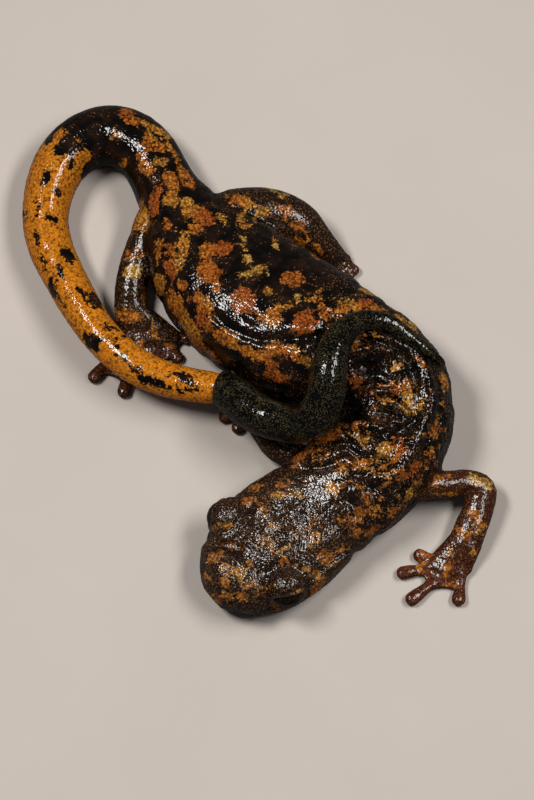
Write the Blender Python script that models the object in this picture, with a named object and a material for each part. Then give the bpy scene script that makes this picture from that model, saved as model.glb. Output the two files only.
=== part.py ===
"""A still, life-size strinatis cave salamander, curled up with its tail laid over its back.

Metres, +Z up. The animal lies on the floor at z = 0, which its chin, belly, tail base, hands
and feet touch on small flats. +X is to the right of the photograph and +Y is away from it.
The body and the two lengths of the tail are lofts through hand-placed stations. Each station
is a place in the photograph with a height above the floor, in millimetres, and half sizes.
"""
import math
from collections import namedtuple

import bpy
import bmesh
import numpy as np

MM = 0.001

# The photograph's scale and view: the snout-to-vent length is 60 mm over 667 pixels.
SNOUT_TO_VENT = 60.0
SNOUT_TO_VENT_PIXELS = 667.0
PIXEL = SNOUT_TO_VENT / SNOUT_TO_VENT_PIXELS
VIEW_DOWN = math.radians(68.0)
CENTRE_X_PIXEL = 256.6
CENTRE_Y_PIXEL = 367.4

# Sizes that hold all over the body, in millimetres.
GAP = 0.3
SINK_SHARE = 0.09
WIDEST = 0.46
BELLY_SQUARE = 2.5
ROUND = 2.0
BEND_ROOM = 0.9
BODY_SIDES = 28
BODY_STEP = 0.75
TAIL_SIDES = 16
TAIL_STEP = 0.95
LIMB_SIDES = 14
LIMB_STEP = 1.0

# Costal grooves between arm and leg, and the folds of the neck.
GROOVE_COUNT = 13
GROOVE_DEPTH = 0.34
GROOVE_WIDTH = 0.55
BEND_FOLD_DEPTH = 0.7
NECK_FOLDS = ((1.0, 0.55), (3.4, 0.35))

# Head.
HEAD_SIDES = 36
HEAD_RINGS = 30
SNOUT_ROUND_WIDE = 5.5
SNOUT_ROUND_HIGH = 2.2
CROWN_SQUARE = 2.3
MOUTH_DEPTH = 0.3
MOUTH_LENGTH = 8.6
LIP_SWELL = 0.1
POLE_SHARE = 0.4
EYE_RADIUS = 1.25
LID_RADIUS = 1.9
EYE_HEIGHT = 3.45
EYE_OUT = 0.2
EYE_PIXELS = {"right": (228.0, 517.0), "left": (286.0, 586.0)}
LID_OPENING = (1.35, 1.5, 0.72)
NOSTRIL_RADIUS = 0.32

# Digits.
DIGIT_RADIUS = 0.52
DIGIT_TIP_RADIUS = 0.6
DIGIT_SIDES = 10
WEB_REACH = 0.48
WEB_THICK = 0.6
PAD_SHARE = 0.8

BODY_NODES = ("neck", "torso_front", "torso_bend", "torso_rear", "torso_loin", "hips")

Station = namedtuple("Station", "x y z wide up down node")


def place(x_pixel, y_pixel, height):
    """Turn a place in the photograph and a height in mm into a point in mm."""
    x = (x_pixel - CENTRE_X_PIXEL) * PIXEL
    drop = (y_pixel - CENTRE_Y_PIXEL) * PIXEL + height * math.cos(VIEW_DOWN)
    return np.array((x, -drop / math.sin(VIEW_DOWN), height))


def lying(x_pixel, y_pixel, top, wide, node=None):
    """A cross-section that rests on the floor: its top and its half width are given."""
    z = top * WIDEST
    return Station(*place(x_pixel, y_pixel, z), wide, top - z, z * (1.0 + SINK_SHARE), node)


def held(x_pixel, y_pixel, z, radius, node=None):
    """A round cross-section, with the height of its middle and its radius."""
    return Station(*place(x_pixel, y_pixel, z), radius, radius, radius, node)


def flat(x_pixel, y_pixel, z, wide, high, node=None):
    """An oval cross-section of a limb, with its middle's height and its half sizes."""
    return Station(*place(x_pixel, y_pixel, z), wide, high, high, node)


# One way leads from the snout over the back and round the tail to its tip. The belly lies on
# the floor, and so does the root of the tail. The rest of the tail is held clear: it passes
# over the right foot, ends its orange length in a round black shoulder, and curls over the back.
ANIMAL = (
    lying(212.0, 594.0, 3.9, 4.3, "head"),
    lying(230.0, 579.0, 4.75, 4.8),
    lying(248.0, 564.0, 5.25, 5.2),
    lying(270.0, 546.0, 5.6, 5.6),
    lying(290.0, 530.0, 5.9, 5.65),
    lying(309.0, 515.0, 6.2, 5.35, "neck"),
    lying(329.0, 499.0, 6.7, 5.15),
    lying(352.0, 480.0, 7.3, 5.3, "torso_front"),
    lying(370.0, 463.0, 7.7, 5.35),
    lying(384.0, 445.0, 7.9, 5.3, "torso_bend"),
    lying(394.0, 423.0, 8.1, 5.15),
    lying(395.0, 402.0, 8.2, 5.1),
    lying(388.5, 385.0, 8.3, 5.2),
    lying(374.0, 371.0, 8.6, 5.45),
    lying(354.0, 358.5, 8.9, 5.7),
    lying(330.0, 347.5, 9.2, 6.3, "torso_rear"),
    lying(301.0, 332.5, 9.3, 6.65),
    lying(270.5, 314.0, 9.1, 6.7),
    lying(243.0, 290.0, 8.5, 6.35, "torso_loin"),
    lying(218.0, 264.0, 7.7, 5.7),
    lying(196.0, 237.0, 6.9, 4.7),
    lying(181.0, 214.0, 6.2, 3.6, "hips"),
    lying(168.0, 193.0, 5.8, 2.95),
    lying(157.0, 171.0, 5.6, 2.75),
    lying(145.0, 151.0, 5.6, 2.75, "tail_root"),
    lying(127.0, 137.0, 5.6, 2.8),
    lying(104.0, 132.0, 5.5, 2.75),
    lying(80.0, 139.0, 5.3, 2.6, "tail_turn"),
    lying(60.0, 157.0, 5.0, 2.45),
    lying(47.0, 186.0, 4.7, 2.25),
    lying(43.0, 216.0, 4.45, 2.1, "tail_side"),
    held(49.0, 246.0, 2.45, 2.02),
    held(63.0, 275.0, 2.75, 1.9),
    held(80.0, 305.0, 3.1, 1.8, "tail_middle"),
    held(100.0, 334.0, 3.4, 1.7),
    held(118.0, 352.0, 3.6, 1.68),
    held(140.0, 368.0, 3.7, 1.65, "tail_across"),
    held(163.0, 378.0, 3.7, 1.6),
    held(189.0, 384.5, 3.8, 1.53),
    held(208.0, 387.5, 4.0, 1.48),
    held(221.0, 389.5, 4.2, 1.44, "tail_shoulder"),
    held(225.5, 391.0, 4.3, 1.64),
    held(233.0, 395.0, 4.95, 1.77),
    held(244.0, 404.0, 5.8, 1.8),
    held(259.0, 414.0, 6.6, 1.77),
    held(278.0, 421.0, 7.1, 1.72, "tail_curl"),
    held(299.0, 423.5, 8.1, 1.72),
    held(315.5, 414.5, 9.1, 1.75),
    held(324.0, 395.0, 10.1, 1.75, "tail_over"),
    held(327.0, 372.0, 10.9, 1.68),
    held(333.0, 350.0, 11.1, 1.45, "tail_back"),
    held(345.0, 331.0, 10.7, 1.15),
    held(364.0, 321.5, 10.1, 0.87),
    held(385.0, 324.0, 9.5, 0.78, "tail_tip"),
    held(406.0, 338.0, 8.9, 0.68),
    held(426.0, 353.0, 8.2, 0.52),
    held(442.0, 366.0, 7.4, 0.3),
)
LIMBS = {
    "arm_left": (
        flat(396.0, 497.0, 3.4, 1.65, 1.65, "arm_left_upper"),
        flat(422.0, 487.0, 3.0, 1.45, 1.45),
        flat(448.0, 484.0, 2.6, 1.3, 1.3),
        flat(466.0, 484.0, 2.3, 1.32, 1.32, "arm_left_lower"),
        flat(477.5, 489.5, 2.05, 1.32, 1.3),
        flat(479.5, 504.0, 1.75, 1.22, 1.2),
        flat(471.0, 525.0, 1.5, 1.25, 1.1),
        flat(461.0, 545.0, 1.1, 1.35, 0.95, "hand_left"),
    ),
    "arm_right": (
        flat(330.0, 468.0, 2.7, 1.5, 1.5, "arm_right_upper"),
        flat(309.0, 461.0, 2.5, 1.4, 1.4),
        flat(289.0, 454.0, 2.2, 1.25, 1.25),
        flat(275.0, 446.0, 1.8, 1.2, 1.1, "arm_right_lower"),
        flat(265.0, 434.0, 1.35, 1.1, 0.9),
        flat(257.0, 422.0, 0.95, 1.1, 0.7, "hand_right"),
    ),
    "leg_left": (
        flat(190.0, 233.0, 3.2, 1.8, 1.8, "leg_left_upper"),
        flat(209.0, 224.0, 3.5, 2.15, 2.15),
        flat(231.0, 213.0, 3.6, 2.2, 2.2),
        flat(258.0, 206.0, 3.6, 2.05, 2.05),
        flat(284.0, 206.0, 3.3, 1.9, 1.9),
        flat(304.0, 218.0, 2.9, 1.65, 1.65, "leg_left_lower"),
        flat(320.0, 234.0, 2.2, 1.35, 1.35),
        flat(332.0, 250.0, 1.45, 1.15, 1.05, "foot_left"),
    ),
    "leg_right": (
        flat(184.0, 205.0, 3.0, 1.6, 1.6, "leg_right_upper"),
        flat(170.0, 207.0, 2.9, 1.8, 1.8),
        flat(156.0, 217.0, 2.8, 1.8, 1.8),
        flat(146.0, 238.0, 2.6, 1.62, 1.62),
        flat(136.0, 262.0, 2.3, 1.5, 1.45, "leg_right_lower"),
        flat(130.0, 290.0, 1.8, 1.45, 1.35),
        flat(130.0, 312.0, 1.35, 1.5, 1.1, "foot_right"),
    ),
}
# A hand or foot: the middle of the palm and the tip of each digit, in photograph pixels.
Palm = namedtuple("Palm", "x y wide high tips")
PALMS = {
    "hand_left": Palm(450.0, 561.0, 1.45, 0.72, ((414, 553), (400, 571), (409, 597), (456, 599))),
    "hand_right": Palm(249.0, 412.0, 1.2, 0.6, ((238, 428), (225, 417), (224, 401), (238, 388))),
    "foot_left": Palm(341.0, 261.0, 1.2, 0.68, ((369, 257), (358, 273), (351, 289), (334, 291), (318, 280))),
    "foot_right": Palm(134.0, 337.0, 1.7, 0.68, ((94, 377), (122, 394), (152, 390), (173, 374), (185, 351))),
}
MATERIALS = {
    "head": ("brown_speckled_skin", (0.10, 0.045, 0.02), 0.32),
    "trunk": ("black_orange_skin", (0.17, 0.06, 0.02), 0.28),
    "tail": ("orange_tail_skin", (0.62, 0.22, 0.03), 0.28),
    "tail_end": ("black_gold_skin", (0.02, 0.02, 0.015), 0.22),
    "limb": ("red_brown_skin", (0.13, 0.04, 0.02), 0.32),
    "eye": ("dark_eye", (0.03, 0.02, 0.01), 0.08),
}


class Way:
    """A smooth run of cross-sections through hand-placed stations."""

    def __init__(self, stations):
        self.stations = stations
        self.rows = np.array([station[:6] for station in stations], dtype=float)
        steps = np.linalg.norm(np.diff(self.rows[:, :3], axis=0), axis=1)
        self.at = np.concatenate(([0.0], np.cumsum(steps)))
        rises = np.diff(self.rows, axis=0) / steps[:, None]
        share = (steps[:-1] / (steps[:-1] + steps[1:]))[:, None]
        inner = rises[:-1] * (1.0 - share) + rises[1:] * share
        self.slopes = np.vstack((rises[:1], inner, rises[-1:]))

    def read(self, s):
        """Middle, half width and upper and lower half heights at a length along the way."""
        i = int(np.clip(np.searchsorted(self.at, s) - 1, 0, len(self.at) - 2))
        span = self.at[i + 1] - self.at[i]
        t = (s - self.at[i]) / span
        if t < 0.0 or t > 1.0:
            end = 0 if t < 0.0 else -1
            return self.rows[end] + self.slopes[end] * (s - self.at[end])
        a, b = self.rows[i], self.rows[i + 1]
        slope_a, slope_b = self.slopes[i] * span, self.slopes[i + 1] * span
        return (a * (2 * t**3 - 3 * t**2 + 1) + slope_a * (t**3 - 2 * t**2 + t)
                + b * (3 * t**2 - 2 * t**3) + slope_b * (t**3 - t**2))

    def frame(self, s):
        """Middle and the unit vectors along, to the left and up at a length along the way."""
        reach = 0.05
        along = self.read(s + reach)[:3] - self.read(s - reach)[:3]
        along /= np.linalg.norm(along)
        left = np.cross((0.0, 0.0, 1.0), along)
        left /= np.linalg.norm(left)
        return self.read(s)[:3], along, left, np.cross(along, left)

    def bend(self, s):
        """Signed curvature in plan, in 1/mm: positive where the way turns left."""
        reach = 0.9
        _, before, _, _ = self.frame(s - reach)
        _, after, _, _ = self.frame(s + reach)
        return float(np.cross(before, after)[2]) / (2.0 * reach)

    def ring(self, s, sides, grow=0.0, relief=None, shift=0.0, square=ROUND):
        """One cross-section as points, its lower half squarer, kept clear of tight bends."""
        middle, along, left, up = self.frame(s)
        wide, high, low = self.read(s)[3:] + grow
        bend = self.bend(s)
        room = BEND_ROOM / max(abs(bend), 1e-6)
        points = []
        for k in range(sides):
            angle = 2.0 * math.pi * k / sides
            c, d = math.cos(angle), math.sin(angle)
            half = min(wide, room) if c * bend > 0.0 else wide
            if d < 0.0:
                c = math.copysign(abs(c) ** (2.0 / square), c)
                d = -abs(d) ** (2.0 / square)
            tall = high if d > 0.0 else low
            keep = 1.0
            if relief is not None:
                keep -= relief(s, angle) / math.hypot(half * c, tall * d)
            points.append(middle + along * shift + keep * (left * half * c + up * tall * d))
        return points

    def starts(self):
        """The nodes that begin along the way, each with its length, and where it ends."""
        marks = [(s.node, at) for s, at in zip(self.stations, self.at) if s.node]
        ends = [at for _, at in marks[1:]] + [self.at[-1]]
        return [(name, at, end) for (name, at), end in zip(marks, ends)]


def clear_scene():
    """Remove whatever the file holds."""
    for item in list(bpy.data.objects):
        bpy.data.objects.remove(item)


def material(kind):
    """The plain material of one kind of skin, made once."""
    name, colour, roughness = MATERIALS[kind]
    found = bpy.data.materials.get(name)
    if found is None:
        found = bpy.data.materials.new(name)
        found.use_nodes = True
        shader = found.node_tree.nodes["Principled BSDF"]
        shader.inputs["Base Color"].default_value = (*colour, 1.0)
        shader.inputs["Roughness"].default_value = roughness
        shader.inputs["Metallic"].default_value = 0.0
    return found


def add_object(name, bm, kind):
    """Turn closed bmesh points in mm into an object in metres that stands on the floor."""
    for vert in bm.verts:
        vert.co.z = max(vert.co.z, 0.0)
        vert.co *= MM
    bmesh.ops.recalc_face_normals(bm, faces=bm.faces)
    mesh = bpy.data.meshes.new(name)
    bm.to_mesh(mesh)
    bm.free()
    mesh.shade_smooth()
    mesh.materials.append(material(kind))
    item = bpy.data.objects.new(name, mesh)
    bpy.context.scene.collection.objects.link(item)
    return item


def loft(rings):
    """Skin a run of rings. A ring of one point is a pole, and an open end gets a fan."""
    bm = bmesh.new()
    loops = [[bm.verts.new(point) for point in ring] for ring in rings]
    for first, second in zip(loops, loops[1:]):
        count = max(len(first), len(second))
        for k in range(count):
            n = (k + 1) % count
            corners = [first[k], first[n], second[n], second[k]] if len(first) == len(second) else (
                [first[0], second[n], second[k]] if len(first) == 1 else [first[k], first[n], second[0]])
            bm.faces.new(corners)
    for loop in (loops[0], loops[-1]):
        if len(loop) > 1:
            middle = sum((vert.co for vert in loop[1:]), loop[0].co.copy()) / len(loop)
            hub = bm.verts.new(middle)
            for k, vert in enumerate(loop):
                bm.faces.new((vert, loop[(k + 1) % len(loop)], hub))
    return bm


def spread(start, end, step):
    """Lengths between two ends, evenly spaced and about a step apart, ends left out."""
    count = max(2, round((end - start) / step))
    return [start + (end - start) * k / count for k in range(1, count)]


def length_of(way, start, end, sides, step, relief=None, square=ROUND):
    """The rings of one node: its end faces are parallel to its neighbours', a gap apart."""
    rings = [way.ring(start, sides, relief=relief, shift=GAP / 2, square=square)]
    rings += [way.ring(s, sides, relief=relief, square=square) for s in spread(start, end, step)]
    return rings + [way.ring(end, sides, relief=relief, shift=-GAP / 2, square=square)]


def dip(distance, width):
    """A smooth groove profile: 1 in the middle and 0 past its width."""
    share = min(abs(distance) / width, 1.0)
    return (1.0 - share * share) ** 2


def trunk_relief(way):
    """How far the trunk's surface lies inside its smooth form: folds and costal grooves."""
    marks = {name: at for name, at, _ in way.starts()}
    first, last = marks["torso_front"] + 1.5, marks["hips"] + 1.0
    spacing = (last - first) / GROOVE_COUNT

    def relief(s, angle):
        flank = max(0.0, abs(math.cos(angle)) - 0.25) / 0.75
        depth = 0.0
        if first < s < last:
            away = (s - first) % spacing - spacing / 2.0
            inner = math.cos(angle) * way.bend(s) > 0.05
            deep = BEND_FOLD_DEPTH if inner else GROOVE_DEPTH
            depth += deep * flank * dip(away, GROOVE_WIDTH * spacing / 2.0)
        for after, deep in NECK_FOLDS:
            low = 0.5 - 0.5 * math.sin(angle)
            depth += deep * (0.35 + 0.65 * low) * dip(s - marks["neck"] - after, 0.9)
        return depth

    return relief


def build_body(way):
    """Neck, trunk and hips, each a length of the animal's way."""
    relief = trunk_relief(way)
    for name, start, end in way.starts():
        if name in BODY_NODES:
            rings = length_of(way, start, end, BODY_SIDES, BODY_STEP, relief, BELLY_SQUARE)
            add_object(name, loft(rings), "trunk")


def build_tail(way):
    """The orange lengths of the tail and the dark ones after its shoulder."""
    kind = "tail"
    for name, start, end in way.starts():
        if not name.startswith("tail"):
            continue
        if name == "tail_shoulder":
            kind = "tail_end"
        rings = length_of(way, start, end, TAIL_SIDES, TAIL_STEP)
        if name == "tail_tip":
            rings.append([way.frame(end + way.read(end)[3])[0]])
        add_object(name, loft(rings), kind)


def apply_boolean(target, others, operation):
    """Join or cut a closed mesh by others, remove them and keep the largest closed surface."""
    group = bpy.data.collections.new("tools")
    bpy.context.scene.collection.children.link(group)
    for other in others:
        group.objects.link(other)
    tool = target.modifiers.new("tool", "BOOLEAN")
    tool.operation = operation
    tool.solver = "EXACT"
    tool.operand_type = "COLLECTION"
    tool.collection = group
    if operation == "UNION":
        tool.use_self = True
    depsgraph = bpy.context.evaluated_depsgraph_get()
    mesh = bpy.data.meshes.new_from_object(target.evaluated_get(depsgraph))
    target.modifiers.clear()
    old, target.data = target.data, mesh
    bpy.data.meshes.remove(old)
    bpy.data.collections.remove(group)
    for other in others:
        bpy.data.objects.remove(other)
    keep_largest(mesh)


def keep_largest(mesh):
    """Keep only the largest closed surface of a mesh."""
    bm = bmesh.new()
    bm.from_mesh(mesh)
    bmesh.ops.remove_doubles(bm, verts=bm.verts, dist=1e-6)
    bmesh.ops.triangulate(bm, faces=bm.faces)
    left, groups = set(bm.faces), []
    while left:
        group, edge_of = set(), [left.pop()]
        while edge_of:
            face = edge_of.pop()
            group.add(face)
            for edge in face.edges:
                near = [f for f in edge.link_faces if f in left]
                left.difference_update(near)
                edge_of.extend(near)
        groups.append(group)
    best = max(groups, key=lambda group: sum(face.calc_area() for face in group))
    bmesh.ops.delete(bm, geom=[f for f in bm.faces if f not in best], context="FACES")
    bm.to_mesh(mesh)
    bm.free()
    mesh.shade_smooth()


def body_cutter(way):
    """The body's smooth form, a gap larger all round, which cuts the roots of the limbs."""
    marks = {name: at for name, at, _ in way.starts()}
    lengths = spread(marks["neck"] - 4.0, marks["tail_root"] + 1.0, BODY_STEP)
    rings = [way.ring(s, BODY_SIDES, grow=GAP, square=BELLY_SQUARE) for s in lengths]
    cutter = add_object("body_cutter", loft(rings), "trunk")
    for vert in cutter.data.vertices:
        if vert.co.z <= 0.0:
            vert.co.z = -MM
    return cutter


def digit(name, palm, tip_pixels):
    """One digit: a short tube with a fuller tip, from the middle of the palm."""
    tip = place(*tip_pixels, DIGIT_TIP_RADIUS * PAD_SHARE)
    base = place(palm.x, palm.y, palm.high * PAD_SHARE)
    middle = base * 0.45 + tip * 0.55
    middle[2] = DIGIT_RADIUS * PAD_SHARE
    sizes = ((base, palm.high), (middle, DIGIT_RADIUS), (tip, DIGIT_TIP_RADIUS))
    way = Way([Station(*point, size, size, size, None) for point, size in sizes])
    end = way.at[-1]
    rings = [way.ring(s, DIGIT_SIDES) for s in (0.0, *spread(0.0, end, 1.0), end)]
    for share in (0.55, 0.88):
        cap = way.ring(end, DIGIT_SIDES, shift=DIGIT_TIP_RADIUS * share)
        hub = way.frame(end)[0] + way.frame(end)[1] * DIGIT_TIP_RADIUS * share
        rings.append([hub + (point - hub) * math.sqrt(1.0 - share**2) for point in cap])
    return add_object(name, loft(rings), "limb")


def web(name, palm, first, second):
    """The thin web between the roots of two neighbouring digits."""
    corners = [place(palm.x, palm.y, 0.0)]
    for tip in (first, second):
        corners.append(corners[0] + (place(*tip, 0.0) - corners[0]) * WEB_REACH)
    bm = bmesh.new()
    low = [bm.verts.new((c[0], c[1], 0.1)) for c in corners]
    high = [bm.verts.new((c[0], c[1], 0.1 + WEB_THICK)) for c in corners]
    bm.faces.new(low[::-1])
    bm.faces.new(high)
    for k in range(3):
        n = (k + 1) % 3
        bm.faces.new((low[k], low[n], high[n], high[k]))
    return add_object(name, bm, "limb")


def build_palm(name, way, start):
    """A hand or foot: the palm from the wrist, its digits and the webs between them."""
    palm = PALMS[name]
    first = way.ring(start, LIMB_SIDES, shift=GAP / 2)
    middle, along, left, up = way.frame(start)
    target = place(palm.x, palm.y, palm.high * PAD_SHARE)
    rings = [first]
    wide, high = way.read(start)[3:5]
    for share in (0.35, 0.7, 1.0, 1.25, 1.45, 1.55):
        hub = middle + (target - middle) * share
        taper = 1.0 if share <= 1.0 else math.sqrt(max(0.05, 1.0 - ((share - 1.0) / 0.6) ** 2))
        mix = min(share, 1.0)
        half = (wide + (palm.wide - wide) * mix) * taper
        tall = (high + (palm.high - high) * mix) * taper
        hub[2] = max(tall * PAD_SHARE, middle[2] + (target[2] - middle[2]) * min(share, 1.0))
        angles = [2.0 * math.pi * k / LIMB_SIDES for k in range(LIMB_SIDES)]
        rings.append([hub + left * half * math.cos(a) + up * tall * math.sin(a) for a in angles])
    hand = add_object(name, loft(rings), "limb")
    pieces = [digit(f"{name}_digit", palm, tip) for tip in palm.tips]
    pieces += [web(f"{name}_web", palm, a, b) for a, b in zip(palm.tips, palm.tips[1:])]
    apply_boolean(hand, pieces, "UNION")


def build_limb(body_way, stations):
    """The upper and lower length of one limb and its hand or foot, its root cut to the body."""
    way = Way(stations)
    marks = [(s.node, at) for s, at in zip(way.stations, way.at) if s.node]
    for (node, start), (_, end) in zip(marks, marks[1:]):
        rings = length_of(way, start, end, LIMB_SIDES, LIMB_STEP)
        item = add_object(node, loft(rings), "limb")
        if node.endswith("_upper"):
            apply_boolean(item, [body_cutter(body_way)], "DIFFERENCE")
    palm, wrist = marks[-1]
    build_palm(palm, way, wrist)


def head_sizes(way, d):
    """Half width, upper and lower half height of the head, rounded off to the snout."""
    wide, high, low = way.read(d)[3:]
    across = math.sqrt(max(0.0, 1.0 - (1.0 - min(d / SNOUT_ROUND_WIDE, 1.0)) ** 2))
    tall = math.sqrt(max(0.0, 1.0 - (1.0 - min(d / SNOUT_ROUND_HIGH, 1.0)) ** 2))
    return wide * across, high * tall, low * tall


def head_ring(way, d, shift=0.0):
    """One cross-section of the head, its widest points on the line of the mouth."""
    middle, along, left, up = way.frame(d)
    wide, high, low = head_sizes(way, d)
    points = []
    for k in range(HEAD_SIDES):
        angle = 2.0 * math.pi * k / HEAD_SIDES
        c, s = math.cos(angle), math.sin(angle)
        power = 2.0 / (CROWN_SQUARE if s > 0.0 else BELLY_SQUARE)
        c = math.copysign(abs(c) ** power, c)
        s = math.copysign(abs(s) ** power, s)
        tall = high if s > 0.0 else low
        points.append(middle + along * shift + left * wide * c + up * tall * s)
    return points


def head_loft(way, end):
    """The head's skin from the snout's pole to the neck, with lips and the mouth's line."""
    lengths = [end * (1.0 - math.cos(math.pi / 2.0 * k / HEAD_RINGS)) for k in range(3, HEAD_RINGS)]
    rings = [[way.frame(0.0)[0]]] + [head_ring(way, d) for d in lengths]
    rings.append(head_ring(way, end, -GAP / 2))
    bm = loft(rings)
    bmesh.ops.recalc_face_normals(bm, faces=bm.faces)
    bm.normal_update()
    bm.verts.ensure_lookup_table()
    normals = [vert.normal.copy() for vert in bm.verts]
    bm.verts[0].co -= normals[0] * MOUTH_DEPTH * POLE_SHARE
    for ring, d in enumerate(lengths):
        depth = MOUTH_DEPTH * min(1.0, POLE_SHARE + d, max(0.0, (MOUTH_LENGTH - d) / 0.8))
        first = 1 + ring * HEAD_SIDES
        for column in (0, HEAD_SIDES // 2):
            bm.verts[first + column].co -= normals[first + column] * depth
            for side in (-1, 1):
                lip = first + (column + side) % HEAD_SIDES
                bm.verts[lip].co += normals[lip] * LIP_SWELL * depth / MOUTH_DEPTH
    return bm


def ellipsoid(name, centre, radii, turn=0.0, detail=20):
    """An upright ellipsoid in mm, turned about Z, for lids, eyes, sockets and pits."""
    bm = bmesh.new()
    bmesh.ops.create_uvsphere(bm, u_segments=detail, v_segments=detail * 2 // 3, radius=1.0)
    cos, sin = math.cos(turn), math.sin(turn)
    for vert in bm.verts:
        x, y, z = (vert.co[k] * radii[k] for k in range(3))
        vert.co = (centre[0] + x * cos - y * sin, centre[1] + x * sin + y * cos, centre[2] + z)
    return add_object(name, bm, "eye")


def build_head(way):
    """The head with its lids, eye openings, mouth and nostrils, and the two eyes."""
    neck = way.starts()[0][2]
    head = add_object("head", head_loft(way, neck), "head")
    _, along, left, _ = way.frame(SNOUT_ROUND_WIDE)
    turn = math.atan2(along[1], along[0])
    domes, cuts = [], []
    for side, sign in (("left", -1.0), ("right", 1.0)):
        centre = place(*EYE_PIXELS[side], EYE_HEIGHT)
        outward = left * sign
        domes.append(ellipsoid("lid", centre, (LID_RADIUS * 1.08, LID_RADIUS, LID_RADIUS), turn))
        ball = centre + outward * EYE_OUT
        socket = EYE_RADIUS + GAP
        cuts.append(ellipsoid("socket", ball, (socket, socket, socket)))
        slit = centre + outward * (LID_RADIUS - 0.1)
        cuts.append(ellipsoid("opening", slit, LID_OPENING, turn))
        nose = way.frame(1.1)[0] + outward * 1.75 + np.array((0.0, 0.0, 1.15))
        cuts.append(ellipsoid("nostril", nose, (NOSTRIL_RADIUS,) * 3, detail=10))
        ellipsoid(f"eye_{side}", ball, (EYE_RADIUS,) * 3, detail=16)
    apply_boolean(head, domes, "UNION")
    apply_boolean(head, cuts, "DIFFERENCE")


def main():
    """Build the whole animal."""
    clear_scene()
    way = Way(ANIMAL)
    build_head(way)
    build_body(way)
    build_tail(way)
    for stations in LIMBS.values():
        build_limb(way, stations)


if __name__ == "__main__":
    main()
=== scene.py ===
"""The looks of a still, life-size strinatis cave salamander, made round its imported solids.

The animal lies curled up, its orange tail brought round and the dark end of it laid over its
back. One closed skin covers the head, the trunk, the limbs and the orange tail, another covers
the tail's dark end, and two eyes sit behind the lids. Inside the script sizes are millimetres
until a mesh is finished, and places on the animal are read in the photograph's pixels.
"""

import logging
import math
from dataclasses import dataclass, field
from enum import Enum

import bpy
import bmesh
import numpy as np
from mathutils import Matrix, Vector, noise
from mathutils.bvhtree import BVHTree
from mathutils.kdtree import KDTree


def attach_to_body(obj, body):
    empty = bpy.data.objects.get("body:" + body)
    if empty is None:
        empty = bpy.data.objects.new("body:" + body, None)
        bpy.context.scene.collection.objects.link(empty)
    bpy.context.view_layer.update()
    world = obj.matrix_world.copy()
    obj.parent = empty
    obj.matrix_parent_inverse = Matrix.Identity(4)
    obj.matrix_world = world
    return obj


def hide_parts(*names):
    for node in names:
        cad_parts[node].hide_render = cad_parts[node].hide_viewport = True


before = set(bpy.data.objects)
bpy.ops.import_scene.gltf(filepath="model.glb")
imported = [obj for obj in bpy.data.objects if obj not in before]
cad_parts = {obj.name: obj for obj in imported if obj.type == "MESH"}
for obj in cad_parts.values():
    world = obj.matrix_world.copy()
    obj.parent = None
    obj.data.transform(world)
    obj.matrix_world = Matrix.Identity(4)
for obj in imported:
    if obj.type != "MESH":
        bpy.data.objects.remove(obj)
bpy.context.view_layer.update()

MM = 0.001
LOG = logging.getLogger("salamander")
Array = np.ndarray
Pair = tuple[float, float]
Spot = tuple[Array, tuple[Array, Array], Array]
Finder = tuple[KDTree, Array]
Item = bpy.types.Object
Mesh = bpy.types.Mesh
Material = bpy.types.Material
Node = bpy.types.Node
Socket = bpy.types.NodeSocket


class Tint(Enum):
    """How yellow a blotch is, from red-orange to pale yellow."""

    RED = 0.0
    RUST = 0.25
    ORANGE = 0.45
    OCHRE = 0.7
    YELLOW = 1.0


class Side(Enum):
    """The two sides of the head. The value is the sign along the way's left vector."""

    RIGHT = 1.0
    LEFT = -1.0


@dataclass(frozen=True)
class PhotoView:
    """The photograph's scale, its view from above, and the camera that repeats it."""

    snout_to_vent: float = 60.0
    snout_to_vent_pixels: float = 667.0
    down: float = math.radians(68.0)
    centre: Pair = (256.6, 367.4)
    frame_height: float = 800.0
    middle: Pair = (267.0, 400.0)
    distance: float = 400.0
    sensor: float = 36.0

    @property
    def pixel(self) -> float:
        """Millimetres for each pixel at the floor's centre."""
        return self.snout_to_vent / self.snout_to_vent_pixels

    def place(self, x: float, y: float, z: float) -> Array:
        """Turn a pixel and a height into a point.

        Args:
            x: Pixels from the photograph's left.
            y: Pixels from its top.
            z: Height above the floor.

        Returns:
            The point in millimetres.
        """
        drop = (y - self.centre[1]) * self.pixel + z * math.cos(self.down)
        return np.array(((x - self.centre[0]) * self.pixel, -drop / math.sin(self.down), z))

    def back(self) -> Array:
        """The direction from the animal to the camera."""
        return np.array((0.0, -math.cos(self.down), math.sin(self.down)))

    def eye(self) -> Array:
        """Where the camera stands."""
        return self.place(*self.middle, 0.0) + self.back() * self.distance

    def ray(self, x: float, y: float) -> Array:
        """The direction from the camera through a pixel, of length 1.

        Args:
            x: Pixels from the left.
            y: Pixels from the top.

        Returns:
            The direction.
        """
        upward = np.array((0.0, math.sin(self.down), math.cos(self.down)))
        across = np.array(((x - self.middle[0]) * self.pixel, 0.0, 0.0))
        aim = across - upward * (y - self.middle[1]) * self.pixel - self.back() * self.distance
        return aim / np.linalg.norm(aim)

    def make_camera(self) -> Item:
        """Make the scene's camera, with the photograph's view.

        Returns:
            The camera object.
        """
        data = bpy.data.cameras.new("photo_camera")
        data.sensor_width = self.sensor
        data.lens = self.sensor * self.distance / (self.frame_height * self.pixel)
        data.clip_start = 0.01
        data.clip_end = 10.0
        camera = bpy.data.objects.new("photo_camera", data)
        camera.rotation_mode = "QUATERNION"
        camera.location = Vector(self.eye() * MM)
        camera.rotation_quaternion = (-Vector(self.back())).to_track_quat("-Z", "Y")
        bpy.context.scene.collection.objects.link(camera)
        bpy.context.scene.camera = camera
        return camera


VIEW = PhotoView()


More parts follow.
